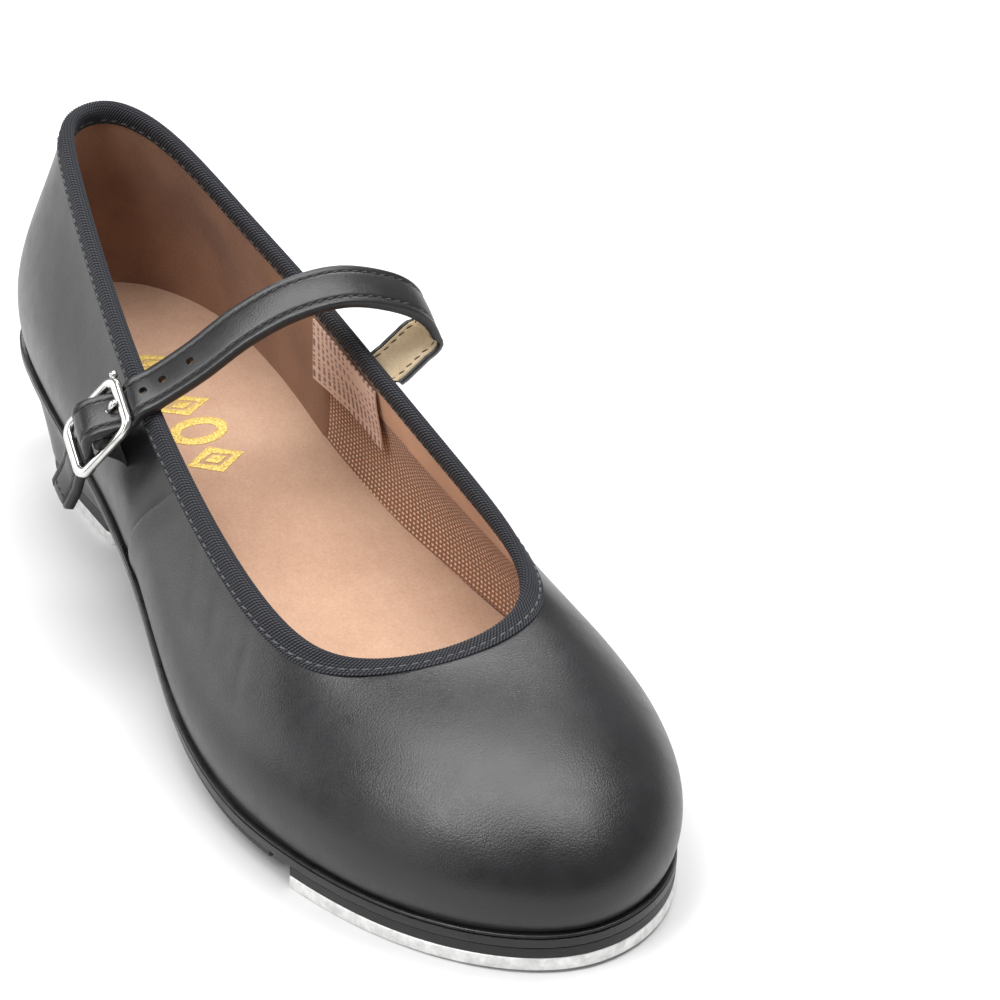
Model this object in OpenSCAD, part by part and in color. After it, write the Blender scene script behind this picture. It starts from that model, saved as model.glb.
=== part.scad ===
// Right-foot Mary-Jane tap shoe with a buckled instep strap.
// +Z is up, +Y points to the toe, +X to the outer side of the foot.
// The origin is the middle of the heel tap's face on the floor.

/* [Last] */
// Length of the outsole, heel to toe
sole_len = 244; // [238:1:250]
// Width across the ball of the foot
ball_w = 85; // [82:1:88]
// Height of the upper's back edge above the heel seat
back_h = 54; // [52:1:56]

/* [Upper] */
// Thickness of the outer leather
leather_t = 1.2; // [1:0.1:1.3]
// Thickness of the toe puff and the heel counter
stiffener_t = 0.6; // [0.5:0.1:0.7]
// Thickness of the lining
lining_t = 0.7; // [0.5:0.1:0.8]
// Thickness of the folded topline tape
binding_t = 0.8; // [0.6:0.1:0.9]
// Width of the topline tape on each side
binding_w = 4; // [3.5:0.5:5]
// Width of the turned-in lasting edge
lasting_w = 11; // [8:1:12]

/* [Sole] */
// Thickness of the outsole
outsole_t = 3.1; // [2.8:0.1:3.2]
// Thickness of the rubber pad behind the toe tap
pad_t = 2.0; // [1.6:0.1:2.2]
// Thickness of the fibre board above the toe tap
board_t = 2.5; // [2.3:0.1:2.6]
// Thickness of each aluminium tap
tap_t = 3.0; // [2.8:0.1:3.2]
// Thickness of the insole board
insole_t = 2.0; // [1.8:0.1:2.2]
// Thickness of the sock
sock_t = 1.2; // [1:0.1:1.4]

/* [Strap] */
// Width of the instep strap
strap_w = 10.5; // [10:0.5:11]
// Thickness of the strap's leather
strap_leather_t = 1.4; // [1.2:0.1:1.4]
// Thickness of the strap's suede lining
strap_lining_t = 0.8; // [0.6:0.1:0.8]

/* [Buckle] */
// Outer width of the buckle frame, across the strap
buckle_w = 16; // [15.5:0.5:16.5]
// Outer length of the buckle frame, along the strap
buckle_l = 20; // [19.5:0.5:20.5]
// Width of the frame's metal
frame_w = 2.2; // [2:0.1:2.4]
// Thickness of the frame's metal
frame_t = 1.8; // [1.6:0.1:1.8]
// Diameter of the buckle's centre bar
bar_d = 1.8; // [1.6:0.1:1.8]

/* [Hidden] */

leather = "#1c1c1e";
suede = "#c8aa7d";
tape = "#15171c";
metal = "#c9cbce";

// Feather edge (where the upper meets the sole) in plan, from the back round the outer side
FEATHER = [[2, -30], [19, -25], [24, -2], [27, 26], [27.5, 54], [30.5, 81], [37, 109],
    [39, 137], [34, 166], [20, 198], [-6, 219], [-33, 207], [-44.5, 178], [-46, 149],
    [-42, 120], [-33, 92], [-26, 63], [-26, 33], [-25, 3], [-15, -22]];
// Top edge of the upper, with heights above the floor, in the same order
TOPLINE = [[-1, -20, 88.5], [8.5, -16, 88], [12.5, -3, 86], [16, 14, 80], [20, 39, 70],
    [23.5, 70, 59], [25, 102, 49], [24.5, 130, 43], [20, 147, 41], [8, 155, 41],
    [-8, 158, 42], [-22, 155, 43.5], [-30.5, 147, 45.5], [-33.5, 130, 48], [-31, 103, 54],
    [-27, 76, 62.5], [-24, 50, 69.5], [-19, 25, 77], [-14.5, 1, 85], [-9, -15, 88]];
// Height of the foot bed's underside every 30 mm from the back of the heel
bed_start = -30;
bed_step = 30;
BED = [34.5, 34.5, 33, 27, 18.5, 11.5, 8.6, 8.6, 9.2, 10.2, 11];

turns = len(FEATHER);       // the loops' parameter runs from 0 to this
toe_u = turns / 2;          // parameter of the tip of the toe
grid_u = 0.25;              // step of the parameter between two facets
width_k = ball_w / 85;
length_k = sole_len / 244;
height_k = back_h / 54;
seat_z = BED[0];
sole_t = outsole_t + board_t + tap_t;
ply = 0.1;                  // cement between the leather, the stiffeners and the lining
puff_d = leather_t + 2 * ply;
lining_d = puff_d + stiffener_t + 2 * ply;
upper_t = lining_d + lining_t;
seam_out = [4.7, 5.7];      // side seam's parameter at the feather edge and at the topline
seam_in = [turns - 4.7, turns - 5.7];
seam_gap = 0.02;

function mix(a, b, t) = a + (b - a) * t;
function unit(v) = v / norm(v);
function wrap(i, n) = ((i % n) + n) % n;

// Smooth bump of height 1 round parameter c, on the closed loop
function bump(i, c, w) =
    let (d = wrap(i - c + toe_u, turns) - toe_u)
    exp(-pow(d / w, 2));

// Point of the closed cubic spline guided by the points P
function spline(P, u) =
    let (n = len(P), i = floor(u), t = u - i)
    (pow(1 - t, 3) * P[wrap(i - 1, n)]
        + (3 * pow(t, 3) - 6 * t * t + 4) * P[wrap(i, n)]
        + (-3 * pow(t, 3) + 3 * t * t + 3 * t + 1) * P[wrap(i + 1, n)]
        + pow(t, 3) * P[wrap(i + 2, n)]) / 6;

// Point of the open curve that passes through the points P
function curve(P, t) =
    let (n = len(P), i = min(floor(t), n - 2), f = t - i,
        b = P[i], c = P[i + 1],
        a = i > 0 ? P[i - 1] : 2 * b - c,
        d = i < n - 2 ? P[i + 2] : 2 * c - b)
    b + 0.5 * f * (c - a + f * (2 * a - 5 * b + 4 * c - d + f * (3 * b - a - 3 * c + d)));

// Height of the foot bed's underside, with no overshoot between its stations
function slope(i) =
    i <= 0 || i >= len(BED) - 1 ? 0
        : let (a = BED[i] - BED[i - 1], b = BED[i + 1] - BED[i])
        a * b <= 0 ? 0 : 2 * a * b / (a + b);
function smooth_bed(y) =
    let (s = (y / length_k - bed_start) / bed_step, i = max(0, min(floor(s), len(BED) - 2)),
        t = max(0, s - i), a = BED[i], b = BED[i + 1])
    a + (b - a) * t * t * (3 - 2 * t)
        + slope(i) * t * pow(1 - t, 2) - slope(i + 1) * t * t * (1 - t);
// The same height on flat strips, so that every layer of the bottom meets the next one
strip = 6;
function bed(y) =
    let (i = floor(y / strip))
    mix(smooth_bed(i * strip), smooth_bed((i + 1) * strip), y / strip - i);

// Guide points of the upper's four rows, from the feather edge up to the topline
function outward(P, i) =
    let (d = P[wrap(i + 1, turns)] - P[wrap(i - 1, turns)])
    unit([d[1], -d[0], 0]);
ROW_0 = [for (p = FEATHER) [p[0] * width_k, p[1] * length_k, bed(p[1] * length_k)]];
ROW_3 = [for (p = TOPLINE) [p[0] * width_k, p[1] * length_k,
    p[2] < seat_z ? p[2] : seat_z + (p[2] - seat_z) * height_k]];
ROW_1 = [for (i = [0:turns - 1]) ROW_0[i]
    + outward(ROW_0, i) * (3.2 + 7 * bump(i, 11, 3) + 2 * bump(i, 2, 2.5))
    + [0, 0, 15.5 + 3 * bump(i, 11.5, 2.5) + 4 * bump(i, 1.5, 2)]];
ROW_2 = [for (i = [0:turns - 1]) ROW_3[i]
    + outward(ROW_3, i) * (4 + 31 * bump(i, 10, 1.65) + 3 * bump(i, 0.5, 1.5))
    - [0, 0, 16 + 5 * bump(i, 1.5, 2) - 17 * bump(i, 9.8, 1.8)]];

// Point of the upper's outer face: v is 0 at the feather edge and 1 at the topline
function face(u, v) =
    pow(1 - v, 3) * spline(ROW_0, u) + 3 * pow(1 - v, 2) * v * spline(ROW_1, u)
        + 3 * (1 - v) * v * v * spline(ROW_2, u) + pow(v, 3) * spline(ROW_3, u);
function face_normal(u, v) =
    unit(cross(face(u + 0.05, v) - face(u - 0.05, v), face(u, v + 0.01) - face(u, v - 0.01)));
// The same point moved outwards by d
function upper(u, v, d) = face(u, v) + face_normal(u, v) * d;

// Point of the feather edge, moved inwards in plan
function edge(u, inset) =
    let (p = spline(ROW_0, u), d = spline(ROW_0, u + 0.05) - spline(ROW_0, u - 0.05),
        q = p - unit([d[1], -d[0], 0]) * inset)
    [q[0], q[1]];

// Solid through a row of outlines; each outline goes out along one face and back along the other
module loft(sections, ring = false) {
    m = len(sections);
    k = len(sections[0]);
    sides = [for (i = [0:m - (ring ? 1 : 2)]) for (j = [0:k - 1])
        let (a = i * k + j, b = i * k + (j + 1) % k,
            c = ((i + 1) % m) * k + j, d = ((i + 1) % m) * k + (j + 1) % k)
        each [[a, b, d], [a, d, c]]];
    last = (m - 1) * k;
    caps = ring ? [] : [for (j = [0:k / 2 - 2])
        let (a = j, b = j + 1, c = k - 1 - j, d = k - 2 - j)
        each [[a, c, b], [b, c, d], [last + a, last + b, last + c],
            [last + b, last + d, last + c]]];
    polyhedron(points = [for (s = sections) each s], faces = concat(sides, caps));
}

// Part of the upper between two side lines and two heights, from depth d0 down to depth d1.
// side_a and side_b hold the loop's parameter at the feather edge and at the topline.
function skin_sections(side_a, side_b, v0, v1, d0, d1, nv) =
    let (nu = ceil((max(side_b) - min(side_a)) / grid_u))
    [for (i = [0:nu])
        let (rows = [for (j = [0:nv])
            let (v = mix(v0, v1, j / nv), a = mix(side_a[0], side_a[1], v),
                b = mix(side_b[0], side_b[1], v))
            [mix(a, b, i / nu), v]])
        concat([for (r = rows) upper(r[0], r[1], -d0)],
            [for (j = [nv:-1:0]) upper(rows[j][0], rows[j][1], -d1)])];

module skin(side_a, side_b, v0, v1, d0, d1, nv = 8) {
    loft(skin_sections(side_a, side_b, v0, v1, d0, d1, nv));
}

// Outer leather with its lasting edge turned in under the insole board
module lasted_skin(side_a, side_b, nv) {
    sections = skin_sections(side_a, side_b, 0, 1, 0, leather_t, nv);
    nu = len(sections) - 1;
    loft([for (i = [0:nu])
        let (u = mix(side_a[0], side_b[0], i / nu), s = sections[i], k = len(s),
            rim = edge(u, 0), turn = edge(u, leather_t + 0.6), tip = edge(u, lasting_w))
        concat([[tip[0], tip[1], bed(tip[1]) + ply], [rim[0], rim[1], bed(rim[1]) + ply]],
            [for (j = [1:k - 2]) s[j]],
            [[turn[0], turn[1], bed(turn[1]) + ply + leather_t],
                [tip[0], tip[1], bed(tip[1]) + ply + leather_t]])]);
}

// Sideways place of the inset feather edge at y, searched between two parameters
function edge_x(y, inset, u0, u1, tries = 14) =
    let (u = (u0 + u1) / 2, p = edge(u, inset))
    tries == 0 ? p[0] : p[1] < y ? edge_x(y, inset, u, u1, tries - 1)
        : edge_x(y, inset, u0, u, tries - 1);

// Places of the cross-sections between two ends: close together at the ends, then every strip
ENDS = [0, 0.5, 1.5, 3, 5];
function stations(y0, y1) =
    concat([for (e = ENDS) y0 + e],
        [for (i = [ceil((y0 + 5.5) / strip):floor((y1 - 5.5) / strip)]) i * strip],
        [for (i = [len(ENDS) - 1:-1:0]) y1 - ENDS[i]]);

// Layer of the bottom between two heights above the foot bed's underside
module slab(inset, z0, z1, y0 = undef, y1 = undef) {
    tip = 0.3;
    back = is_undef(y0) ? edge(0, inset)[1] + tip : y0;
    front = is_undef(y1) ? edge(toe_u, inset)[1] - tip : y1;
    loft([for (y = stations(back, front))
        let (a = edge_x(y, inset, 0, toe_u), b = edge_x(y, inset, turns, toe_u), z = bed(y))
        [[a, y, z + z1], [b, y, z + z1], [b, y, z + z0], [a, y, z + z0]]]);
}

// ---- Upper ----

module vamp() {
    color(leather)
    lasted_skin(seam_out + [seam_gap, seam_gap], seam_in - [seam_gap, seam_gap], 9);
}

module quarter_lateral() {
    color(leather)
    lasted_skin([0.01, 0.01], seam_out, 8);
}

module quarter_medial() {
    color(leather)
    lasted_skin(seam_in, [turns - 0.01, turns - 0.01], 8);
}

// Tape folded over the topline, as a channel with a slit for the leather and the lining
module topline_binding() {
    clear = 0.15;
    rise = 0.15;
    color(tape)
    loft([for (i = [0:turns / grid_u - 1])
        let (u = i * grid_u, up = unit(face(u, 1) - face(u, 0.97)),
            drop = binding_w / norm(face(u, 1) - face(u, 0.85)) * 0.15,
            rows = [1 - drop, 1 - drop / 2, 1])
        concat([for (v = rows) upper(u, v, clear + binding_t)],
            [upper(u, 1, clear + binding_t) + up * (rise + binding_t),
                upper(u, 1, -upper_t - clear - binding_t) + up * (rise + binding_t)],
            [for (v = [rows[2], rows[1], rows[0]]) upper(u, v, -upper_t - clear - binding_t)],
            [for (v = rows) upper(u, v, -upper_t - clear)],
            [upper(u, 1, -upper_t - clear) + up * rise, upper(u, 1, clear) + up * rise],
            [for (v = [rows[2], rows[1], rows[0]]) upper(u, v, clear)])], ring = true);
}

lining_v0 = 0.12;           // the linings start above the insole board's edge

module vamp_lining() {
    color("#d2a27c")
    skin(seam_out, seam_in, lining_v0, 1, lining_d, upper_t, 8);
}

module quarter_lining() {
    color("#8a5f42")
    skin(seam_in + [seam_gap, seam_gap], seam_out + [turns - seam_gap, turns - seam_gap],
        lining_v0, 1, lining_d, upper_t, 7);
}

module toe_puff() {
    color("#d8cdb8")
    skin([toe_u - 2.5, toe_u - 2.5], [toe_u + 2.5, toe_u + 2.5], 0.1, 0.62, puff_d,
        puff_d + stiffener_t, 5);
}

module heel_counter() {
    color("#cbbd9f")
    skin([turns - 4, turns - 3.5], [turns + 4, turns + 3.5], 0.12, 0.8, puff_d,
        puff_d + stiffener_t, 6);
}

module size_label() {
    label_d = upper_t + ply;
    color("#e0b59c")
    skin([14.9, 14.9], [15.85, 15.85], 0.62, 0.86, label_d, label_d + 0.3, 3);
}

// ---- Foot bed and sole ----

board_z = leather_t + 2.5 * ply;
sock_z = board_z + insole_t;

module insole_board() {
    color("#b9966b")
    slab(upper_t + 0.5, board_z, board_z + insole_t);
}

module insole_sock() {
    color("#cf9f80")
    slab(upper_t + 1.4, sock_z, sock_z + sock_t);
}

filler_inset = lasting_w + 0.5;
filler_t = leather_t;
shank_w = 14;
shank_y = [12, 104];

// Cork sheet that fills the space inside the lasting edge, with a slot for the shank
module bottom_filler() {
    color("#a98357")
    slab(filler_inset, 0, filler_t, shank_y[1] + 2);
}

// Spring steel shank along the waist
module shank() {
    x = shank_w / 2;
    color("#8f959b")
    loft([for (y = stations(shank_y[0], shank_y[1]))
        let (z = bed(y))
        [[x, y, z + filler_t], [-x, y, z + filler_t], [-x, y, z], [x, y, z]]]);
}

module outsole() {
    color("#232326")
    slab(-1.2, -outsole_t, 0);
}

pad_y = [92, 157];
module sole_pad() {
    color("#2a2a2c")
    slab(-0.6, -outsole_t - pad_t, -outsole_t, pad_y[0], pad_y[1]);
}

tap_y = 164;                // the toe tap's rear edge

module toe_tap_board() {
    color("#1f1f21")
    slab(-1, -outsole_t - board_t, -outsole_t, tap_y);
}

screw_r = 1.4;
head_r = 3;
head_h = 1.6;
TOE_SCREWS = [[18, 180], [-30, 186], [8, 200], [-20, 206]];
HEEL_SCREWS = [[12, 18], [-12, 18], [0, -12]];

// Countersunk screw with its head's face at z = 0
module tap_screw(length) {
    cylinder(h = head_h, r1 = head_r, r2 = screw_r, $fn = 24);
    translate([0, 0, head_h])
    cylinder(h = length - head_h, r = screw_r, $fn = 24);
}

// Hole for the same screw, a little wider, open below
module screw_hole(depth) {
    play = 0.05;
    translate([0, 0, -1])
    cylinder(h = 1, r = head_r + play, $fn = 24);
    cylinder(h = head_h, r1 = head_r + play, r2 = screw_r + play, $fn = 24);
    translate([0, 0, head_h])
    cylinder(h = depth, r = screw_r + play, $fn = 24);
}

module toe_tap() {
    color(metal)
    difference() {
        slab(-1.1, -sole_t, -outsole_t - board_t, tap_y);
        for (p = TOE_SCREWS)
            translate([p[0] * width_k, p[1] * length_k, bed(p[1] * length_k) - sole_t + 0.3])
            screw_hole(6);
    }
}

module toe_tap_screws() {
    color("#b4b7ba")
    for (p = TOE_SCREWS)
        translate([p[0] * width_k, p[1] * length_k, bed(p[1] * length_k) - sole_t + 0.3])
        tap_screw(7);
}

// ---- Heel ----

heel_h = seat_z - outsole_t;
top_piece_t = 4;

// Outline of the heel at height fraction h: straight sides, a round back and a flat front
function heel_outline(h) =
    let (w = mix(18.5, 23.5, pow(h, 1.4)) * width_k, back = -mix(22.5, 26.5, pow(h, 1.6)) * length_k,
        front = (27 - 3.5 * sin(180 * h) + 4 * pow(h, 3)) * length_k, n = 10,
        half = concat([for (y = [front, 18, 12, 6]) [w * (1 - 0.04 * y / front), y]],
            [for (i = [0:n]) [w * cos(i * 88 / n), back * sin(i * 88 / n)]]))
    concat(half, [for (i = [len(half) - 1:-1:0]) [-half[i][0], half[i][1]]]);

module heel_block() {
    low = tap_t + top_piece_t;
    steps = 12;
    color("#141416")
    loft([for (i = [0:steps])
        let (h = mix(low / heel_h, 1, i / steps))
        [for (p = heel_outline(h)) [p[0], p[1], mix(low, bed(p[1]) - outsole_t, i / steps)]]]);
}

module heel_layer(z0, z1) {
    loft([for (z = [z0, z1]) [for (p = heel_outline(z0 / heel_h)) [p[0], p[1], z]]]);
}

module heel_top_piece() {
    color("#2b2b2d")
    heel_layer(tap_t, tap_t + top_piece_t);
}

module heel_tap() {
    color(metal)
    difference() {
        linear_extrude(height = tap_t)
        polygon(heel_outline(0));
        for (p = HEEL_SCREWS)
            translate([p[0] * width_k, p[1] * length_k, 0.3])
            screw_hole(6);
    }
}

module heel_tap_screws() {
    color("#b4b7ba")
    for (p = HEEL_SCREWS)
        translate([p[0] * width_k, p[1] * length_k, 0.3])
        tap_screw(14);
}

// One screw and four nails that hold the heel on from inside the shoe
module heel_fixings() {
    top = seat_z + board_z + insole_t - 0.6;
    color("#9a9da0")
    union() {
        translate([0, 0, top - 20])
        cylinder(h = 20, r = 2, $fn = 24);
        for (p = [[9, 10], [-9, 10], [6, -8], [-6, -8]])
            translate([p[0], p[1] * length_k, top - 15])
            cylinder(h = 15, r = 0.8, $fn = 16);
    }
}

// ---- Strap ----

strap_t = strap_leather_t + strap_lining_t;
strap_tilt = 31;            // the strap leans forwards with the instep
strap_wide = [0, cos(strap_tilt), -sin(strap_tilt)];
strap_u = 15.15;            // where the strap is sewn to the inner quarter
sewn_d = binding_t + 0.9 + strap_t / 2;

// Middle line of the free strap, from its fold on the inner side to the outer side
STRAP_PATH = [[-42, 71.5, 64.5], [-40, 72.5, 71], [-33.5, 73, 76.5], [-21.5, 73, 81],
    [-9.5, 72.5, 80.5], [1.5, 71, 76], [11.8, 69.5, 69.3], [20.5, 67.8, 64.2]];

// Buckle frame's place and turns; its own axes are x out of the shoe, y across and z up the strap
buckle_at = [33, 63.5, 55.1];
buckle_turns = [-25.5, -31, -9.5];
module at_buckle() {
    translate(buckle_at)
    rotate([buckle_turns[0], 0, 0])
    rotate([0, buckle_turns[1], 0])
    rotate([0, 0, buckle_turns[2]])
    children();
}
function turn_z(p, a) = [p[0] * cos(a) - p[1] * sin(a), p[0] * sin(a) + p[1] * cos(a), p[2]];
function turn_y(p, a) = [p[0] * cos(a) + p[2] * sin(a), p[1], p[2] * cos(a) - p[0] * sin(a)];
function turn_x(p, a) = [p[0], p[1] * cos(a) - p[2] * sin(a), p[1] * sin(a) + p[2] * cos(a)];
function from_buckle(p) =
    buckle_at + turn_x(turn_y(turn_z(p, buckle_turns[2]), buckle_turns[1]), buckle_turns[0]);
buckle_wide = from_buckle([0, 1, 0]) - buckle_at;

under_x = -(frame_t / 2 + strap_t / 2 + 0.3);
over_x = bar_d / 2 + 1 + strap_t / 2 + 0.1;
// Middle line of the tail: under the frame, over the centre bar and under the frame again
TAIL_PATH = [from_buckle([under_x, 0, 10.8]), from_buckle([under_x, 0, 7.2]),
    from_buckle([over_x, 0, 1.6]), from_buckle([over_x, 0, -1.6]),
    from_buckle([under_x, 0, -7.2]), from_buckle([under_x, 0, -11]),
    from_buckle([under_x - 1.4, 0.6, -15]), from_buckle([under_x - 2.4, 1.6, -20.5])];

// Direction across the strap at the place t along its path: it twists on its way to the buckle
function wide_at(t) = mix(strap_wide, buckle_wide, min(1, t / 7));

// Band of thickness between the offsets lo and hi from the path P, for t from t0 to t1
module band(P, lo, hi, t0, t1, twisted = true, width = strap_w, per = 4) {
    steps = ceil((t1 - t0) * per);
    loft([for (i = [0:steps])
        let (t = mix(t0, t1, i / steps), e = 0.02,
            along = unit(curve(P, min(t + e, len(P) - 1)) - curve(P, max(t - e, 0))),
            wide = twisted ? wide_at(t) : strap_wide,
            side = unit(wide - along * (wide * along)),
            out = cross(along, side), p = curve(P, t), w = side * width / 2)
        [p + out * hi - w, p + out * hi + w, p + out * lo + w, p + out * lo - w]]);
}

PATH = concat(STRAP_PATH, TAIL_PATH);
tail_t = len(STRAP_PATH) - 0.2;

// The strap's sewn end on the outside of the inner quarter, up to the fold
module strap_base() {
    rows = [[0.6, 0], [0.72, 0.1], [0.84, 0.5], [0.96, 0.8]];
    path = concat([for (r = rows) upper(strap_u, r[0], sewn_d + r[1])],
        [upper(strap_u, 1, sewn_d) + [-4.5, -0.5, 0.5], STRAP_PATH[0] + [1.5, 0, -3.2]]);
    color(leather)
    band(path, -strap_t / 2, strap_t / 2, 0, len(path) - 1, false);
}

// Round rod of radius r that stands through the path P's band at t, to cut a hole
module punch(P, t, r) {
    e = 0.02;
    along = unit(curve(P, t + e) - curve(P, t - e));
    side = unit(wide_at(t) - along * (wide_at(t) * along));
    out = cross(side, along);
    p = curve(P, t);
    multmatrix([[side[0], along[0], out[0], p[0]], [side[1], along[1], out[1], p[1]],
        [side[2], along[2], out[2], p[2]]])
    translate([0, 0, -strap_t])
    cylinder(h = 2 * strap_t, r = r, $fn = 16);
}

HOLE_T = [6.1, 6.78, 7.5];  // places of the holes along the path
hole_r = 0.9;
glue_gap = 0.08;            // between the strap's leather and its lining
prong_x = frame_t / 2 + 0.75; // height of the tongue's middle above the buckle's plane

module strap() {
    color(leather)
    difference() {
        band(PATH, -strap_t / 2 + strap_lining_t + glue_gap, strap_t / 2, 0, tail_t);
        for (t = HOLE_T)
            punch(PATH, t, hole_r);
    }
}

module strap_lining() {
    color(suede)
    difference() {
        band(PATH, -strap_t / 2, -strap_t / 2 + strap_lining_t, 0, tail_t);
        for (t = HOLE_T)
            punch(PATH, t, hole_r);
    }
}

module strap_tail() {
    color(leather)
    difference() {
        band(PATH, -strap_t / 2, strap_t / 2, tail_t + 0.02, len(PATH) - 1);
        at_buckle()
        translate([prong_x, 0, 1.2])
        cylinder(h = buckle_l / 2, r = 1.4, $fn = 24);
    }
}

// ---- Buckle and elastic ----

loop_t = 0.9;
loop_play = 0.05;
elastic_w = 12.5;

// Outline of a rectangle with round corners
function round_box(a, b, r) =
    [for (c = [[1, 1, 0], [-1, 1, 90], [-1, -1, 180], [1, -1, 270]]) for (k = [0:5])
        let (t = c[2] + k * 18)
        [c[0] * (a / 2 - r) + r * cos(t), c[1] * (b / 2 - r) + r * sin(t)]];

module buckle_frame() {
    color(metal)
    at_buckle()
    union() {
        rotate([0, -90, 0])
        translate([0, 0, -frame_t / 2])
        linear_extrude(height = frame_t)
        difference() {
            polygon(round_box(buckle_l, buckle_w, 3.2));
            polygon(round_box(buckle_l - 2 * frame_w, buckle_w - 2 * frame_w, 1.4));
        }
        rotate([90, 0, 0])
        translate([0, 0, -buckle_w / 2 + frame_w / 2])
        cylinder(h = buckle_w - frame_w, d = bar_d, $fn = 32);
    }
}

// Tongue that turns on the centre bar and rests on the frame's upper end
module buckle_prong() {
    w = 1.6;
    reach = buckle_l / 2 - 1.1;
    rest_x = frame_t / 2 + 0.08;
    inner = bar_d / 2 + 0.05;
    color(metal)
    at_buckle()
    rotate([90, 0, 0])
    translate([0, 0, -w / 2])
    difference() {
        union() {
            cylinder(h = w, r = inner + 0.8, $fn = 32);
            linear_extrude(height = w)
            polygon([[inner + 0.1, 0], [inner + 0.75, 0.2], [rest_x + 1.3, 4], [rest_x + 1.2, 7.5],
                [rest_x + 0.9, reach], [rest_x, reach], [rest_x, 6.2], [inner - 0.1, 1.2]]);
        }
        translate([0, 0, -1])
        cylinder(h = w + 2, r = inner, $fn = 32);
    }
}

// Folded end of the elastic round the centre bar, split for the tongue
module elastic_loop() {
    r0 = bar_d / 2 + loop_play;
    slot = 2.4;
    lobe = (elastic_w - 2.6 - slot) / 2;
    color(tape)
    at_buckle()
    for (side = [-1, 1])
        translate([0, side * (slot + lobe) / 2, 0])
        rotate([90, 0, 0])
        translate([0, 0, -lobe / 2])
        difference() {
            cylinder(h = lobe, r = r0 + loop_t, $fn = 32);
            translate([0, 0, -1])
            cylinder(h = lobe + 2, r = r0, $fn = 32);
        }
}

// Elastic from its stitched end on the outer quarter to the loop. Each of its four long edges is a
// smooth curve through two places on the quarter and two under the centre bar.
module elastic_band() {
    half = 4.2;
    near = 0.5;
    steps = 12;
    edges = [for (c = [[4.78, 1, 1], [4.36, -1, 1], [4.36, -1, 0], [4.78, 1, 0]])
        concat([for (v = [0.5, 0.6]) upper(c[0], v, near + loop_t * c[2])],
            [for (z = [-2.8, 1])
                from_buckle([-bar_d / 2 - 1.2 - loop_t * (1 - c[2]), c[1] * half, z])])];
    color(tape)
    loft([for (i = [0:steps]) [for (e = edges) curve(e, i * 3 / steps)]]);
}

vamp();
quarter_lateral();
quarter_medial();
topline_binding();
vamp_lining();
quarter_lining();
toe_puff();
heel_counter();
insole_sock();
insole_board();
shank();
bottom_filler();
outsole();
sole_pad();
toe_tap_board();
toe_tap();
toe_tap_screws();
heel_block();
heel_top_piece();
heel_tap();
heel_tap_screws();
heel_fixings();
size_label();
strap_base();
strap();
strap_lining();
strap_tail();
elastic_band();
elastic_loop();
buckle_frame();
buckle_prong();
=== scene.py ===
"""Looks of a Mary-Jane tap shoe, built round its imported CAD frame.

Lengths are in millimetres until a mesh is made; lights and the floor are placed in metres."""
import math

import bpy
import numpy as np
from mathutils import Matrix, Vector


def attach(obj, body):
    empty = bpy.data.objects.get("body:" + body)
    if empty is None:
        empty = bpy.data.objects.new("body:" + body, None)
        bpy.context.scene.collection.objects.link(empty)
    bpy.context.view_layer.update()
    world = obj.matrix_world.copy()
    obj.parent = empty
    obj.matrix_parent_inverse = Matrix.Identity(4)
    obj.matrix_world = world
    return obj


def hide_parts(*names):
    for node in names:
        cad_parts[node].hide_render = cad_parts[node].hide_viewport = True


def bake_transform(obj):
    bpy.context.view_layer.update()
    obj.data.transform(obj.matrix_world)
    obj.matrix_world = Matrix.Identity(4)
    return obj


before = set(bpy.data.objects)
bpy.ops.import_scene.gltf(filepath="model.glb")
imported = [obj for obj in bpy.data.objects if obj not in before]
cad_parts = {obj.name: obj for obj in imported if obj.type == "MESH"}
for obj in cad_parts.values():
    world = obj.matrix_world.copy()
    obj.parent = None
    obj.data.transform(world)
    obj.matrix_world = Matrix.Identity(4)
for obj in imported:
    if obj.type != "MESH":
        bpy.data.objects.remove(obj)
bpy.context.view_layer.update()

MM = 0.001

# ---- The shoe's driving sizes, the same as the CAD model's ----

LEATHER_T = 1.2
LINING_T = 0.7
UPPER_T = 2.9
BINDING_W = 3.8
TAPE_T = 0.5
LASTING_W = 11.0
OUTSOLE_T = 3.1
PAD_T = 2.0
BOARD_T = 2.5
TAP_T = 3.0
SOLE_T = OUTSOLE_T + BOARD_T + TAP_T
SOCK_Z = 3.45
SOCK_T = 1.2
STRAP_W = 10.5
STRAP_T = 2.2
STRAP_LINING_T = 0.8
BUCKLE_W = 16.0
BUCKLE_L = 20.0
FRAME_T = 1.8
BAR_D = 1.8
HEEL_H = 31.4
TOP_PIECE_T = 4.0

# Feather edge in plan, and the topline, from the back round the outer side
FEATHER = np.array([
    (2, -30), (19, -25), (24, -2), (27, 26), (27.5, 54), (30.5, 81), (37, 109),
    (39, 137), (34, 166), (20, 198), (-6, 219), (-33, 207), (-44.5, 178), (-46, 149),
    (-42, 120), (-33, 92), (-26, 63), (-26, 33), (-25, 3), (-15, -22)], float)
TOPLINE = np.array([
    (-1, -20, 88.5), (8.5, -16, 88), (12.5, -3, 86), (16, 14, 80), (20, 39, 70),
    (23.5, 70, 59), (25, 102, 49), (24.5, 130, 43), (20, 147, 41), (8, 155, 41),
    (-8, 158, 42), (-22, 155, 43.5), (-30.5, 147, 45.5), (-33.5, 130, 48), (-31, 103, 54),
    (-27, 76, 62.5), (-24, 50, 69.5), (-19, 25, 77), (-14.5, 1, 85), (-9, -15, 88)], float)
TURNS = len(FEATHER)
TOE_U = TURNS / 2

# Height of the foot bed's underside every 30 mm from the back of the heel
BED_START, BED_STEP = -30.0, 30.0
BED = np.array([34.5, 34.5, 33, 27, 18.5, 11.5, 8.6, 8.6, 9.2, 10.2, 11])

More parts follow.
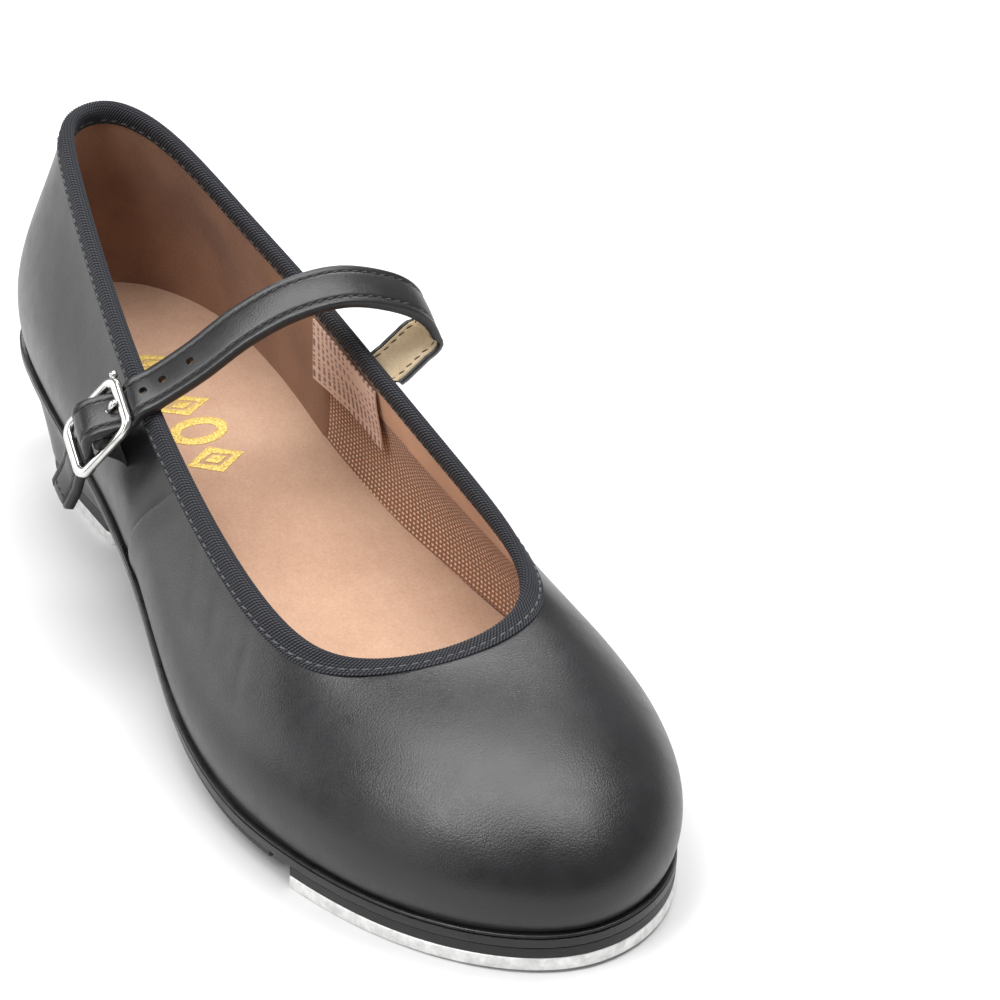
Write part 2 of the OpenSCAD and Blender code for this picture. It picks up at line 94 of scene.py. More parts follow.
TOE_SCREWS = [(18, 180), (-30, 186), (8, 200), (-20, 206)]
HEEL_SCREWS = [(12, 18), (-12, 18), (0, -12)]


def unit(a):
    return a / np.linalg.norm(a, axis=-1, keepdims=True)


def smooth(a, b, x):
    """Goes from 0 at a to 1 at b with no corner."""
    t = np.clip((np.asarray(x, float) - a) / (b - a), 0, 1)
    return t * t * (3 - 2 * t)


def bell(x, width):
    """Smooth bump of height 1 about 0."""
    return np.exp(-((x / width) ** 2))


def circle(n):
    """The angles of n even steps round a circle."""
    return np.linspace(0, 2 * math.pi, n, endpoint=False)


def bed_slopes():
    step = np.diff(BED)
    slopes = np.zeros(len(BED))
    for i in range(1, len(BED) - 1):
        if step[i - 1] * step[i] > 0:
            slopes[i] = 2 * step[i - 1] * step[i] / (step[i - 1] + step[i])
    return slopes


BED_SLOPES = bed_slopes()


def bed(y):
    """Height of the foot bed's underside at y."""
    s = (np.asarray(y, float) - BED_START) / BED_STEP
    i = np.clip(np.floor(s).astype(int), 0, len(BED) - 2)
    t = np.maximum(0, s - i)
    lift = (BED[i + 1] - BED[i]) * t * t * (3 - 2 * t)
    return BED[i] + lift + BED_SLOPES[i] * t * (1 - t) ** 2 - BED_SLOPES[i + 1] * t * t * (1 - t)


def bump(i, centre, width):
    """Smooth bump of height 1 on the closed loop."""
    d = (np.asarray(i, float) - centre + TOE_U) % TURNS - TOE_U
    return bell(d, width)


def outward(points):
    d = np.roll(points, -1, 0) - np.roll(points, 1, 0)
    return unit(np.column_stack([d[:, 1], -d[:, 0], 0 * d[:, 0]]))


def guide_rows():
    """The upper's four rows of guide points, from the feather edge up to the topline."""
    i = np.arange(TURNS)
    up = np.array([0, 0, 1.0])
    low = np.column_stack([FEATHER, bed(FEATHER[:, 1])])
    out_1 = 3.2 + 7 * bump(i, 11, 3) + 2 * bump(i, 2, 2.5)
    up_1 = 15.5 + 3 * bump(i, 11.5, 2.5) + 4 * bump(i, 1.5, 2)
    out_2 = 4 + 31 * bump(i, 10, 1.65) + 3 * bump(i, 0.5, 1.5)
    down_2 = 16 + 5 * bump(i, 1.5, 2) - 17 * bump(i, 9.8, 1.8)
    row_1 = low + outward(low) * out_1[:, None] + up * up_1[:, None]
    row_2 = TOPLINE + outward(TOPLINE) * out_2[:, None] - up * down_2[:, None]
    return low, row_1, row_2, TOPLINE


ROWS = guide_rows()


def spline(points, u):
    """Point of the closed cubic curve guided by the points."""
    u = np.asarray(u, float)
    i = np.floor(u).astype(int)
    t = (u - i)[..., None]
    weights = [(1 - t) ** 3, 3 * t ** 3 - 6 * t * t + 4, -3 * t ** 3 + 3 * t * t + 3 * t + 1, t ** 3]
    return sum(w * points[(i + k - 1) % len(points)] for k, w in enumerate(weights)) / 6


def face(u, v):
    """Point of the upper's outer face: v is 0 at the feather edge and 1 at the topline."""
    u, v = np.broadcast_arrays(np.asarray(u, float), np.asarray(v, float))
    v = v[..., None]
    a, b, c, d = (spline(row, u) for row in ROWS)
    return (1 - v) ** 3 * a + 3 * (1 - v) ** 2 * v * b + 3 * (1 - v) * v * v * c + v ** 3 * d


def upper(u, v, d):
    """The same point moved outwards by d."""
    across = np.cross(face(np.asarray(u) + 0.05, v) - face(np.asarray(u) - 0.05, v),
                      face(u, np.asarray(v) + 0.01) - face(u, np.asarray(v) - 0.01))
    return face(u, v) + unit(across) * np.asarray(d, float)[..., None]


def below_top(u, w):
    """Height v at the distance w below the topline."""
    span = np.linalg.norm(face(u, 1.0) - face(u, 0.85), axis=-1)
    return 1 - np.asarray(w) * 0.15 / span


def lining_depth(v):
    """Depth of the lining's inner face, thinner where the edges are skived under the tape."""
    return UPPER_T - 0.85 * smooth(0.7, 0.93, v)


# ---- Mesh building ----

def signed_volume(mesh):
    mesh.calc_loop_triangles()
    tri = np.empty(len(mesh.loop_triangles) * 3, np.int32)
    mesh.loop_triangles.foreach_get("vertices", tri)
    co = np.empty(len(mesh.vertices) * 3)
    mesh.vertices.foreach_get("co", co)
    a, b, c = co.reshape(-1, 3)[tri.reshape(-1, 3)].transpose(1, 0, 2)
    return float(np.einsum("ij,ij->", a, np.cross(b, c))) / 6


def make(name, parts, material, sharp=40):
    """Object from closed shells, each of them points, faces and corner places in millimetres."""
    mesh = bpy.data.meshes.new(name)
    points, faces, places, base = [], [], [], 0
    for p, f, uv in parts:
        points.append(p)
        faces += [[i + base for i in one] for one in f]
        places.append(uv)
        base += len(p)
    mesh.from_pydata((np.vstack(points) * MM).tolist(), [], faces)
    layer = mesh.uv_layers.new(name="surface")
    layer.data.foreach_set("uv", (np.vstack(places) * MM).ravel())
    if signed_volume(mesh) < 0:
        mesh.flip_normals()
    mesh.polygons.foreach_set("use_smooth", [True] * len(mesh.polygons))
    mesh.set_sharp_from_angle(angle=math.radians(sharp))
    mesh.materials.append(material)
    piece = bpy.data.objects.new(name, mesh)
    bpy.context.scene.collection.objects.link(piece)
    return piece


def settle(piece, body, nodes=()):
    """The piece rides a body and stands for CAD nodes."""
    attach(piece, body)
    if nodes:
        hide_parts(*nodes)
    return piece


def running(points):
    """Distance along a row of points."""
    return np.concatenate([[0], np.cumsum(np.linalg.norm(np.diff(points, axis=0), axis=-1))])


def loft(sections, ring=False, flat_ends=False, step=None):
    """Closed skin through a row of closed outlines; ring joins the last outline to the first. step is the
    texture length of each outline where it isn't the real one."""
    s = np.asarray(sections, float)
    m, k = s.shape[:2]
    rows = m if ring else m - 1
    i, j = np.meshgrid(np.arange(rows), np.arange(k), indexing="ij")
    corners = [(i, j), (i, j + 1), (i + 1, j + 1), (i + 1, j)]
    quads = np.stack([(a % m) * k + b % k for a, b in corners], -1).reshape(-1, 4)
    centres = s.mean(1)
    along = running(np.vstack([centres, centres[:1]])) if step is None else np.arange(m + 1) * step
    around = np.concatenate([[0], np.cumsum(np.linalg.norm(np.roll(s, -1, 1) - s, axis=-1).mean(0))])
    places = [np.stack([np.stack([along[a], around[b]], -1) for a, b in corners], -2).reshape(-1, 2)]
    faces = quads.tolist()
    if not ring:
        for row in (0, m - 1):
            if flat_ends:
                ends = [list(range(k))]
            else:
                ends = [[n, n + 1, k - 2 - n, k - 1 - n] for n in range(k // 2 - 1)]
            if row == 0:
                ends = [e[::-1] for e in ends]
            for e in ends:
                places.append(np.array([(along[row], around[n]) for n in e]))
                faces.append([row * k + n for n in e])
    return s.reshape(-1, 3), faces, np.vstack(places)


def skin(outer, inner):
    """Closed skin between two faces, each a grid of points."""
    return loft(np.concatenate([outer, inner[:, ::-1]], 1))


def rounded(half_w, half_t, n=16, power=3.0):
    """Outline of a flat bar with rounded edges: (across, out) pairs."""
    a = circle(n)
    c, s = np.cos(a), np.sin(a)
    return np.column_stack([half_w * np.sign(c) * np.abs(c) ** (2 / power),
                            half_t * np.sign(s) * np.abs(s) ** (2 / power)])


def stitches(line, normals, pitch, length=2.0, radius=0.22, lean=0.12, start=0.6):
    """Row of thread stitches along a line on a surface."""
    x = np.array([-1, -0.85, -0.4, 0.4, 0.85, 1]) * length / 2
    r = np.array([0.3, 0.8, 1, 1, 0.8, 0.3]) * radius
    rise = np.array([-1.1, -0.1, 0.45, 0.45, -0.1, -1.1]) * radius
    a = circle(6)
    way = running(line)
    shells = []
    for n, at in enumerate(np.arange(start + length / 2, way[-1] - length / 2 - start / 2, pitch)):
        spot, ahead = (np.array([np.interp(at + e, way, line[:, c]) for c in range(3)]) for e in (0, 0.4))
        out = unit(np.array([np.interp(at, way, normals[:, c]) for c in range(3)]))
        along = unit(ahead - spot)
        side = unit(np.cross(out, along))
        along = unit(along + side * lean)
        side = np.cross(out, along)
        rings = [spot + along * x[k] + out * rise[k]
                 + r[k] * (np.cos(a)[:, None] * side + np.sin(a)[:, None] * out) for k in range(6)]
        shells.append(loft(rings, flat_ends=True))
    return shells


# ---- Materials ----

class Maker:
    """Builds one Principled material from small steps."""

    def __init__(self, name, **values):
        self.material = bpy.data.materials.new(name)
        self.material.use_nodes = True
        self.tree = self.material.node_tree
        self.shader = self.tree.nodes["Principled BSDF"]
        for key, value in values.items():
            self.shader.inputs[key.replace("_", " ")].default_value = value

    def add(self, kind, **settings):
        node = self.tree.nodes.new("ShaderNode" + kind)
        for key, value in settings.items():
            setattr(node, key, value)
        return node

    def plug(self, source, node, socket):
        if isinstance(source, (int, float, tuple)):
            node.inputs[socket].default_value = source
        else:
            self.tree.links.new(source, node.inputs[socket])

    def place(self, stretch=(1, 1, 1), uv=False, turn=0.0):
        """Texture places in metres, along the surface if uv."""
        source = self.add("TexCoord").outputs["UV" if uv else "Object"]
        mapping = self.add("Mapping")
        mapping.inputs["Scale"].default_value = stretch
        mapping.inputs["Rotation"].default_value = (0, 0, turn)
        self.plug(source, mapping, "Vector")
        return mapping.outputs["Vector"]

    def noise(self, place, size, detail=3.0, rough=0.55):
        """Noise with features of a size in millimetres."""
        node = self.add("TexNoise")
        self.plug(place, node, "Vector")
        node.inputs["Scale"].default_value = 1 / (size * MM)
        node.inputs["Detail"].default_value = detail
        node.inputs["Roughness"].default_value = rough
        return node.outputs["Fac"]

    def cells(self, place, size, feature="DISTANCE_TO_EDGE"):
        node = self.add("TexVoronoi", feature=feature)
        self.plug(place, node, "Vector")
        node.inputs["Scale"].default_value = 1 / (size * MM)
        return node.outputs["Distance"]

    def waves(self, place, size, direction="X", wobble=0.0):
        """Ridges of a pitch in millimetres."""
        node = self.add("TexWave", bands_direction=direction, wave_profile="SIN")
        self.plug(place, node, "Vector")
        node.inputs["Scale"].default_value = 2 * math.pi / (20 * size * MM)
        node.inputs["Distortion"].default_value = wobble
        node.inputs["Detail Scale"].default_value = 1.0
        return node.outputs["Fac"]

    def math(self, operation, a, b=0.0):
        node = self.add("Math", operation=operation)
        self.plug(a, node, 0)
        self.plug(b, node, 1)
        return node.outputs[0]

    def plus(self, a, b, share):
        """a and a share of b."""
        part = self.math("MULTIPLY", b, share)
        return self.math("ADD", a, part)

    def span(self, value, low, high, to_low=0.0, to_high=1.0):
        """Maps a value from one range to another, with no overshoot."""
        node = self.add("MapRange")
        self.plug(value, node, "Value")
        for socket, number in zip(("From Min", "From Max", "To Min", "To Max"), (low, high, to_low, to_high)):
            self.plug(number, node, socket)
        return node.outputs["Result"]

    def mix(self, share, a, b):
        node = self.add("Mix", data_type="RGBA")
        self.plug(share, node, 0)
        self.plug(a, node, 6)
        self.plug(b, node, 7)
        return node.outputs[2]

    def colour(self, source):
        self.plug(source, self.shader, "Base Color")

    def rough(self, source):
        self.plug(source, self.shader, "Roughness")

    def relief(self, *layers):
        """Stacks bumps, each a height and its depth in millimetres."""
        below = None
        for height, depth in layers:
            node = self.add("Bump")
            node.inputs["Distance"].default_value = depth * MM
            self.plug(height, node, "Height")
            if below is not None:
                self.plug(below, node, "Normal")
            below = node.outputs["Normal"]
        self.plug(below, self.shader, "Normal")


def grey(value, blue=1.0):
    return (value, value, value * blue, 1)


def leather(name, dark, light, rough, grain=0.7, uv=False, depth=0.035):
    """Smooth dyed leather: fine creased grain, pores and slow changes of tone."""
    m = Maker(name, Specular_IOR_Level=0.5)
    place = m.place(uv=uv)
    slow = m.noise(place, 28, 3)
    mid = m.noise(place, 5, 3)
    creases = m.span(m.cells(place, grain), 0.0, 0.2)
    pebble = m.noise(place, 0.45, 2)
    m.colour(m.mix(m.span(m.plus(slow, mid, 0.4), 0.45, 0.95), dark, light))
    m.rough(m.span(m.plus(mid, pebble, 0.5), 0.4, 1.0, rough - 0.04, rough + 0.07))
    m.relief((slow, 0.22), (mid, 0.04), (creases, depth * 0.45), (pebble, depth))
    return m.material


def woven_tape():
    """Twill tape: painted shade in the gaps between slanted yarns and a painted highlight on the yarns'
    crowns, which are flecked.
    """
    m = Maker("binding_tape", Sheen_Weight=0.05, Sheen_Roughness=0.4, Specular_IOR_Level=0.25, Roughness=0.8)
    place = m.place(uv=True)
    crown = m.math("SUBTRACT", 1.0, m.waves(place, RIB_PITCH))
    floats = m.waves(place, 0.85, direction="Y", wobble=0.5)
    fluff = m.noise(place, 0.3, 3, 0.7)
    # painted light: the gaps between the ribs are painted dark as shade and the crowns painted light as
    # highlight, flecked by the floats and fluff
    painted_rib_light = m.math("MULTIPLY", crown, m.span(m.math("ADD", floats, fluff), 0.5, 1.3, 0.25, 1.0))
    m.colour(m.mix(painted_rib_light, (0.005, 0.005, 0.007, 1), (0.066, 0.069, 0.080, 1)))
    m.relief((crown, 0.1), (floats, 0.06), (fluff, 0.06))
    return m.material


def thread(name, dark, light):
    m = Maker(name, Roughness=0.55, Sheen_Weight=0.2)
    ply = m.waves(m.place(uv=True, turn=math.radians(35)), 0.3)
    # painted light: the grooves between the plies are painted dark as shade and the ply crowns painted light
    # as highlight
    m.colour(m.mix(ply, dark, light))
    m.relief((ply, 0.08))
    return m.material


def mesh_canvas():
    """Lining canvas: thick yarns crossing square, with a painted highlight on the bead at each crossing and
    painted shade in the gaps between the yarns.
    """
    m = Maker("vamp_lining_canvas", Sheen_Weight=0.25, Specular_IOR_Level=0.25)
    place = m.place(uv=True)
    lengthwise = m.waves(place, 1.15, direction="X")
    upright = m.waves(place, 1.0, direction="Y")
    bead = m.math("MULTIPLY", lengthwise, upright)
    fibre = m.noise(place, 0.3, 3)
    patch = m.noise(m.place(), 22, 2)
    # painted light: the gaps between the yarns are painted dark as shade and the bead at each crossing
    # painted light as highlight
    base = m.mix(m.span(bead, 0.15, 0.75), (0.28, 0.105, 0.05, 1), (0.95, 0.70, 0.46, 1))
    m.colour(m.mix(m.span(patch, 0.35, 0.7, 0.0, 0.22), base, (0.36, 0.17, 0.10, 1)))
    m.rough(0.85)
    m.relief((m.span(bead, 0.0, 0.9), 0.35), (fibre, 0.08))
    return m.material


def lining_leather(name, dark, light):
    """Smooth pigskin lining with fine pores."""
    m = Maker(name, Specular_IOR_Level=0.35, Sheen_Weight=0.1)
    place = m.place()
    slow = m.noise(place, 25, 3)
    pores = m.cells(place, 1.1)
    fine = m.noise(place, 0.4, 3)
    m.colour(m.mix(m.span(m.plus(slow, fine, 0.3), 0.45, 0.85), dark, light))
    m.rough(m.span(slow, 0.3, 0.7, 0.5, 0.62))
    m.relief((m.span(pores, 0.0, 0.2), 0.04), (fine, 0.04))
    return m.material


def suede(name, dark, light, nap=0.5, depth=0.08):
    """Brushed nap with mottled tone."""
    m = Maker(name, Roughness=0.9, Sheen_Weight=0.2, Sheen_Roughness=0.5, Specular_IOR_Level=0.2)
    place = m.place()
    slow = m.noise(place, 30, 3)
    mottle = m.noise(m.place((1.0, 0.6, 1.0)), 2.6, 4, 0.65)
    fibre = m.noise(place, nap, 4, 0.7)
    tone = m.plus(m.math("MULTIPLY", slow, 0.5), mottle, 0.22)
    tone = m.plus(tone, fibre, 0.6)
    m.colour(m.mix(m.span(tone, 0.45, 0.88), dark, light))
    m.relief((mottle, depth), (fibre, depth))
    return m.material


def foil():
    """Gold foil pressed into the nap, broken up by it."""
    m = Maker("gold_foil", Metallic=0.45)
    place = m.place()
    grain = m.noise(place, 0.45, 4, 0.7)
    m.colour(m.mix(m.span(grain, 0.35, 0.6), (0.55, 0.33, 0.06, 1), (1.0, 0.80, 0.26, 1)))
    m.rough(m.span(grain, 0.3, 0.7, 0.6, 0.35))
    m.relief((grain, 0.25))
    return m.material


def label_print():
    """Woven label with plain printed rows of short bars."""
    m = Maker("label_weave", Roughness=0.7, Sheen_Weight=0.15)
    place = m.place(uv=True)
    weave = m.math("MULTIPLY", m.waves(place, 0.35), m.waves(place, 0.35, direction="Y"))
    cloth = m.mix(weave, (0.68, 0.46, 0.36, 1), (0.82, 0.60, 0.48, 1))
    rows = m.span(m.waves(place, 1.75, direction="X"), 0.5, 0.62)
    bars = m.span(m.noise(m.place((0.04, 1, 1), uv=True), 0.9, 1), 0.46, 0.52)
    m.colour(m.mix(m.math("MULTIPLY", m.math("MULTIPLY", rows, bars), 0.85), cloth, (0.13, 0.06, 0.05, 1)))
    m.relief((weave, 0.05))
    return m.material


def plain(name, dark, light, rough, size=3.0, fine=0.4, depth=0.05, **values):
    """Moulded or cut material with a mottled tone and a fine surface."""
    m = Maker(name, **values)
    place = m.place()
    slow = m.noise(place, size, 4)
    grit = m.noise(place, fine, 3)
    m.colour(m.mix(m.span(slow, 0.3, 0.7), dark, light))
    m.rough(m.span(grit, 0.3, 0.7, rough - 0.07, rough + 0.07))
    m.relief((slow, depth), (grit, depth))
    return m.material


def layered_edge(name, dark, light, rough):
    """Burnished sole edge with faint layers and scuffs."""
    m = Maker(name, Specular_IOR_Level=0.45)
    place = m.place()
    layers = m.noise(m.place((0.12, 0.12, 1.0)), 0.5, 3)
    slow = m.noise(place, 9, 4)
    grit = m.noise(place, 0.4, 3)
    tone = m.plus(m.math("MULTIPLY", layers, 0.4), slow, 0.6)
    m.colour(m.mix(m.span(tone, 0.35, 0.7), dark, light))
    m.rough(m.span(slow, 0.3, 0.7, rough - 0.08, rough + 0.1))
    m.relief((layers, 0.08), (grit, 0.05))
    return m.material


def metal(name, tint, rough, scratches=0.5, brushed=(0.05, 1.0, 1.0), depth=0.02):
    """Bare metal with fine directional scratches and small dents."""
    m = Maker(name, Metallic=1.0)
    place = m.place()
    lines = m.noise(m.place(brushed), 0.25, 4, 0.7)
    marks = m.noise(place, 2.5, 4, 0.6)
    dull = tuple(c * 0.78 for c in tint[:3]) + (1,)
    m.colour(m.mix(m.span(marks, 0.35, 0.65), tint, dull))
    m.rough(m.span(m.plus(lines, marks, 0.5), 0.5, 1.0,
                   rough, rough + 0.3 * scratches))
    m.relief((lines, depth), (marks, depth * 2))
    return m.material


def ribbed_elastic():
    m = Maker("elastic_weave", Roughness=0.75, Sheen_Weight=0.3, Specular_IOR_Level=0.3)
    place = m.place(uv=True)
    knit = m.waves(place, 0.5, wobble=0.8)
    m.colour(m.mix(knit, grey(0.008), grey(0.03, 1.15)))
    m.relief((knit, 0.1))
    return m.material


RIB_PITCH = 0.8             # from one slanted rib of the binding tape to the next

BLACK = leather("upper_leather", grey(0.008, 1.12), grey(0.014, 1.10), 0.31, depth=0.032)
STRAP_BLACK = leather("strap_leather", grey(0.008, 1.08), grey(0.016, 1.08), 0.32, uv=True)
TAPE = woven_tape()
BLACK_THREAD = thread("black_thread", grey(0.003), grey(0.018, 1.08))
TAPE_THREAD = thread("tape_thread", grey(0.015), grey(0.11, 1.05))
DARK_THREAD = thread("dark_thread", (0.03, 0.015, 0.008, 1), (0.12, 0.06, 0.03, 1))
CANVAS = mesh_canvas()
BROWN = lining_leather("quarter_lining_leather", (0.20, 0.098, 0.058, 1), (0.33, 0.175, 0.105, 1))
FACING = lining_leather("facing_leather", (0.46, 0.25, 0.145, 1), (0.64, 0.39, 0.25, 1))
SOCK = suede("sock_suede", (0.42, 0.25, 0.165, 1), (0.58, 0.385, 0.275, 1), nap=0.6, depth=0.06)
BEIGE = suede("strap_suede", (0.56, 0.42, 0.25, 1), (0.88, 0.72, 0.50, 1), nap=0.35)
GOLD = foil()
LABEL = label_print()
SOLE_BLACK = layered_edge("sole_edge", grey(0.004), grey(0.014), 0.30)
BOARD_BLACK = layered_edge("board_edge", grey(0.005), grey(0.014), 0.45)
RUBBER = plain("sole_rubber", grey(0.018), grey(0.030), 0.62, depth=0.04)
HEEL_BLACK = leather("heel_cover", grey(0.010), grey(0.018), 0.30, grain=1.1, depth=0.02)
ALUMINIUM = metal("tap_aluminium", (0.92, 0.92, 0.91, 1), 0.46, 0.8, depth=0.05)
STEEL = metal("screw_steel", (0.60, 0.60, 0.61, 1), 0.28)
NICKEL = metal("buckle_nickel", (0.74, 0.73, 0.71, 1), 0.16, 0.25, depth=0.004)
ELASTIC = ribbed_elastic()
FIBRE = plain("fibre_board", (0.30, 0.18, 0.09, 1), (0.44, 0.29, 0.16, 1), 0.8)
CORK = plain("cork_sheet", (0.22, 0.12, 0.05, 1), (0.50, 0.32, 0.17, 1), 0.85, size=1.4)
SPRING = metal("spring_steel", (0.36, 0.38, 0.42, 1), 0.3)
FELT = plain("stiffener_felt", (0.55, 0.48, 0.36, 1), (0.70, 0.63, 0.50, 1), 0.9, size=1.5)


# ---- Upper ----

LATERAL_SEAM = (4.6, 5.6)
MEDIAL_SEAM = (TURNS - 4.6, TURNS - 5.6)
GRID = 1.1                  # spacing of the leather's mesh
END_STEPS = np.array([0, 0.08, 0.2, 0.38, 0.6, 0.9, 1.4, 2.2, 3.2, 4.4])


def at_height(line, v):
    return line[0] + (line[1] - line[0]) * v


def stations(length):
    """Shares of a span, close together at both ends."""
    inner = np.linspace(5.5, length - 5.5, int((length - 11) / GRID) + 1)
    return np.concatenate([END_STEPS, inner, length - END_STEPS[::-1]]) / length


def roll_in(e, depth, radius):
    """Edge that turns in over its last stretch: e is the distance to its end."""
    x = np.clip(1 - e / radius, 0, 1)
    return -depth * (1 - np.sqrt(np.maximum(0, 1 - x * x)))


def hand_made(u, v):
    """Slow unevenness of stretched leather."""
    return (0.10 * np.sin(2.3 * u + 3 * v + 1.1) + 0.04 * np.sin(3.9 * u - 5 * v + 0.7)
            + 0.012 * np.sin(9.7 * u + 11 * v))


def creases(u, v):
    """Shallow creases of the vamp's wings, beside the side seams."""
    total = 0 * u
    for side, where in ((1, 6.05), (1, 6.45), (1, 7.0), (-1, 13.8), (-1, 13.3)):
        line = u - where - side * 0.55 * (0.8 - v)
        total = total - 0.13 * bell(line, 0.075) * bell(v - 0.72, 0.2)
    return total


def feather_edge(u):
    return spline(ROWS[0], u)[..., :2]


def moved_in(edge, u, inset):
    """Point of an edge in plan, moved inwards."""
    u = np.asarray(u, float)
    d = edge(u + 0.02) - edge(u - 0.02)
    return edge(u) - unit(np.stack([d[..., 1], -d[..., 0]], -1)) * np.asarray(inset)[..., None]


def on_bed(edge, u, inset, z):
    xy = moved_in(edge, u, inset)
    return np.concatenate([xy, (bed(xy[..., 1]) + z)[..., None]], -1)


def leather_part(side_a, side_b, end_a, end_b, rows=48):
    """Closed shell of outer leather with its lasting edge turned in. end_a and end_b say how its side
    edges lie: over a neighbour, under one, or closed against one."""
    v = np.linspace(0.004, 1, rows)
    reach = {"over": 0.0, "under": 6.0, "closed": 0.0}
    a, b = at_height(side_a, v), at_height(side_b, v)
    per_unit = np.linalg.norm(np.diff(face(np.linspace(min(a), max(b), 300), 0.5), axis=0), axis=-1).sum()
    per_unit /= max(b) - min(a)
    a = a - reach[end_a] / per_unit
    b = b + reach[end_b] / per_unit
    length = float(np.mean(b - a)) * per_unit
    t = stations(length)[:, None]
    u = a + (b - a) * t
    depth = hand_made(u, v) + creases(u, v)
    for end, e in ((end_a, t * length), (end_b, (1 - t) * length)):
        if end == "over":
            depth = depth + 0.42 * (1 - smooth(0.0, 7.0, e)) + roll_in(e, 1.1, 1.1)
        elif end == "closed":
            depth = depth + roll_in(e, 0.45, 0.6)
        else:
            depth = depth - 0.55 * (1 - smooth(6.0, 11.0, e)) - 0.9 * (1 - smooth(5.2, 6.2, e))
    room = lining_depth(v) - LINING_T
    depth = np.maximum(depth, 0.3 - room)
    outer = upper(u, v, depth)
    inner = upper(u, v, np.maximum(np.minimum(depth, 0) - LEATHER_T, -room))[:, ::-1]
    low_u = u[:, :1]
    rim = on_bed(feather_edge, low_u, 0 * low_u, 0.1)
    tip = on_bed(feather_edge, low_u, 0 * low_u + LASTING_W, 0.1)
    turn = on_bed(feather_edge, low_u, 0 * low_u + LEATHER_T + 0.6, 0.1 + LEATHER_T)
    tip_top = on_bed(feather_edge, low_u, 0 * low_u + LASTING_W, 0.1 + LEATHER_T)
    return loft(np.concatenate([tip, rim, outer, inner, turn, tip_top], 1))


def make_upper():
    back, round_again = (0.0, 0.0), (float(TURNS), float(TURNS))
    for node, sides, ends in (("vamp", (LATERAL_SEAM, MEDIAL_SEAM), ("over", "over")),
                              ("quarter_lateral", (back, LATERAL_SEAM), ("closed", "under")),
                              ("quarter_medial", (MEDIAL_SEAM, round_again), ("under", "closed"))):
        piece = make(node + "_leather", [leather_part(*sides, *ends)], BLACK)
        settle(piece, "shoe", [node])


RIB_SLANT = 0.8             # how far a rib runs along the edge for each millimetre across the tape
STITCH_DROP = 2.5           # from the topline down to the tape's stitches


def top_direction(u):
    return unit(face(u, 1.0) - face(u, 0.97))


def tape_sections():
    """Outlines of the tape folded over the topline. Each one follows a slanted rib, four to a rib."""
    dense = np.linspace(0, TURNS, 2001)
    way = running(face(dense, 1.0))
    count = 4 * round(way[-1] / RIB_PITCH)
    start = np.arange(count)[:, None] / count * way[-1]
    crest = 0.1 * np.cos(np.arange(count) * math.pi / 2)[:, None]
    inside = lining_depth(1.0)
    radius = inside / 2 + TAPE_T
    wide = BINDING_W * np.array([1, 0.985, 0.93, 0.85, 0.75, 0.65, 0.5, 0.3, 0.1])
    lift = np.array([0.08, 0.26, 0.42, 0.5, 0.5, 0.5, 0.5, 0.5, 0.5])
    arc = np.radians(np.arange(11.25, 180, 22.5))
    over = BINDING_W + math.pi * radius

    def place(walk):
        return np.interp((start + RIB_SLANT * walk) % way[-1], way, dense)

    def side(w, d, walk):
        u = place(walk)
        sag = 0.1 * bell(w - STITCH_DROP, 0.4)
        ridge = crest * smooth(BINDING_W, BINDING_W - 0.4, w)
        return upper(u, below_top(u, w), d + (ridge - sag) * np.sign(d + 0.5))

    turn = place(BINDING_W + arc * radius)
    normal = unit(upper(turn, 1.0, 1.0 + 0 * turn) - face(turn, 1.0))
    around = normal * np.cos(arc)[:, None] + top_direction(turn) * np.sin(arc)[:, None]
    fold = face(turn, 1.0) - normal * inside / 2 + around * (radius + crest)[..., None]
    outer = side(wide, lift, BINDING_W - wide)
    inner = side(wide[::-1], -inside - 0.1 - lift[::-1], over + wide[::-1])
    hidden_w = np.array([3.6, 2.0, 0.4, 0.4, 2.0, 3.6])
    u = place((over + BINDING_W) * np.array([0.9, 0.75, 0.6, 0.4, 0.25, 0.1]))
    hidden = upper(u, below_top(u, hidden_w), np.array([-inside - 0.02] * 3 + [0.03] * 3) + 0 * u)
    return np.concatenate([outer, fold, inner, hidden], 1)


def surface_line(u, drop, depth):
    """Line on the upper at a distance below the topline, with the outward normals."""
    v = below_top(u, drop)
    line = upper(u, v, depth + 0 * u)
    return line, unit(upper(u, v, depth + 1 + 0 * u) - line)


def make_binding():
    tape = make("topline_tape", [loft(tape_sections(), ring=True, step=RIB_PITCH / 4)], TAPE, sharp=60)
    settle(tape, "shoe", ["topline_binding"])
    u = np.linspace(0, TURNS, 900)
    line, normal = surface_line(u, STITCH_DROP, 0.45)
    rows = stitches(line, normal, 2.5, length=1.7, radius=0.22)
    line, normal = surface_line(u, STITCH_DROP, -lining_depth(1.0) - 0.45)
    rows += stitches(line, -normal, 2.5, length=1.7, radius=0.22)
    settle(make("topline_stitches", rows, TAPE_THREAD), "shoe")


# ---- Linings ----

def lining_split(v):
    """Where the back lining's front edge meets the canvas, on the inner side."""
    return 16.58 - 0.15 * v - 0.65 * v * v


def lining_part(a, b, low, outer_depth, inner_depth, high=0.985, rows=36, columns=200, wave=0.0):
    """Closed sheet between two side curves and two heights, inside the leather."""
    v = np.linspace(low, high, rows) if np.isscalar(low) else low
    t = np.linspace(0, 1, columns)[:, None]
    u = a(v) + (b(v) - a(v)) * t
    ease = roll_in(t * 200, 0.3, 0.5) + roll_in((1 - t) * 200, 0.3, 0.5)
    sway = wave * (np.sin(3.1 * u + 5 * v) + 0.6 * np.sin(7.3 * u - 7 * v + 1))
    back = upper(u, v, -outer_depth(v) + 0 * u)
    front = upper(u, v, -inner_depth(v) + sway - ease)
    return skin(back, front)


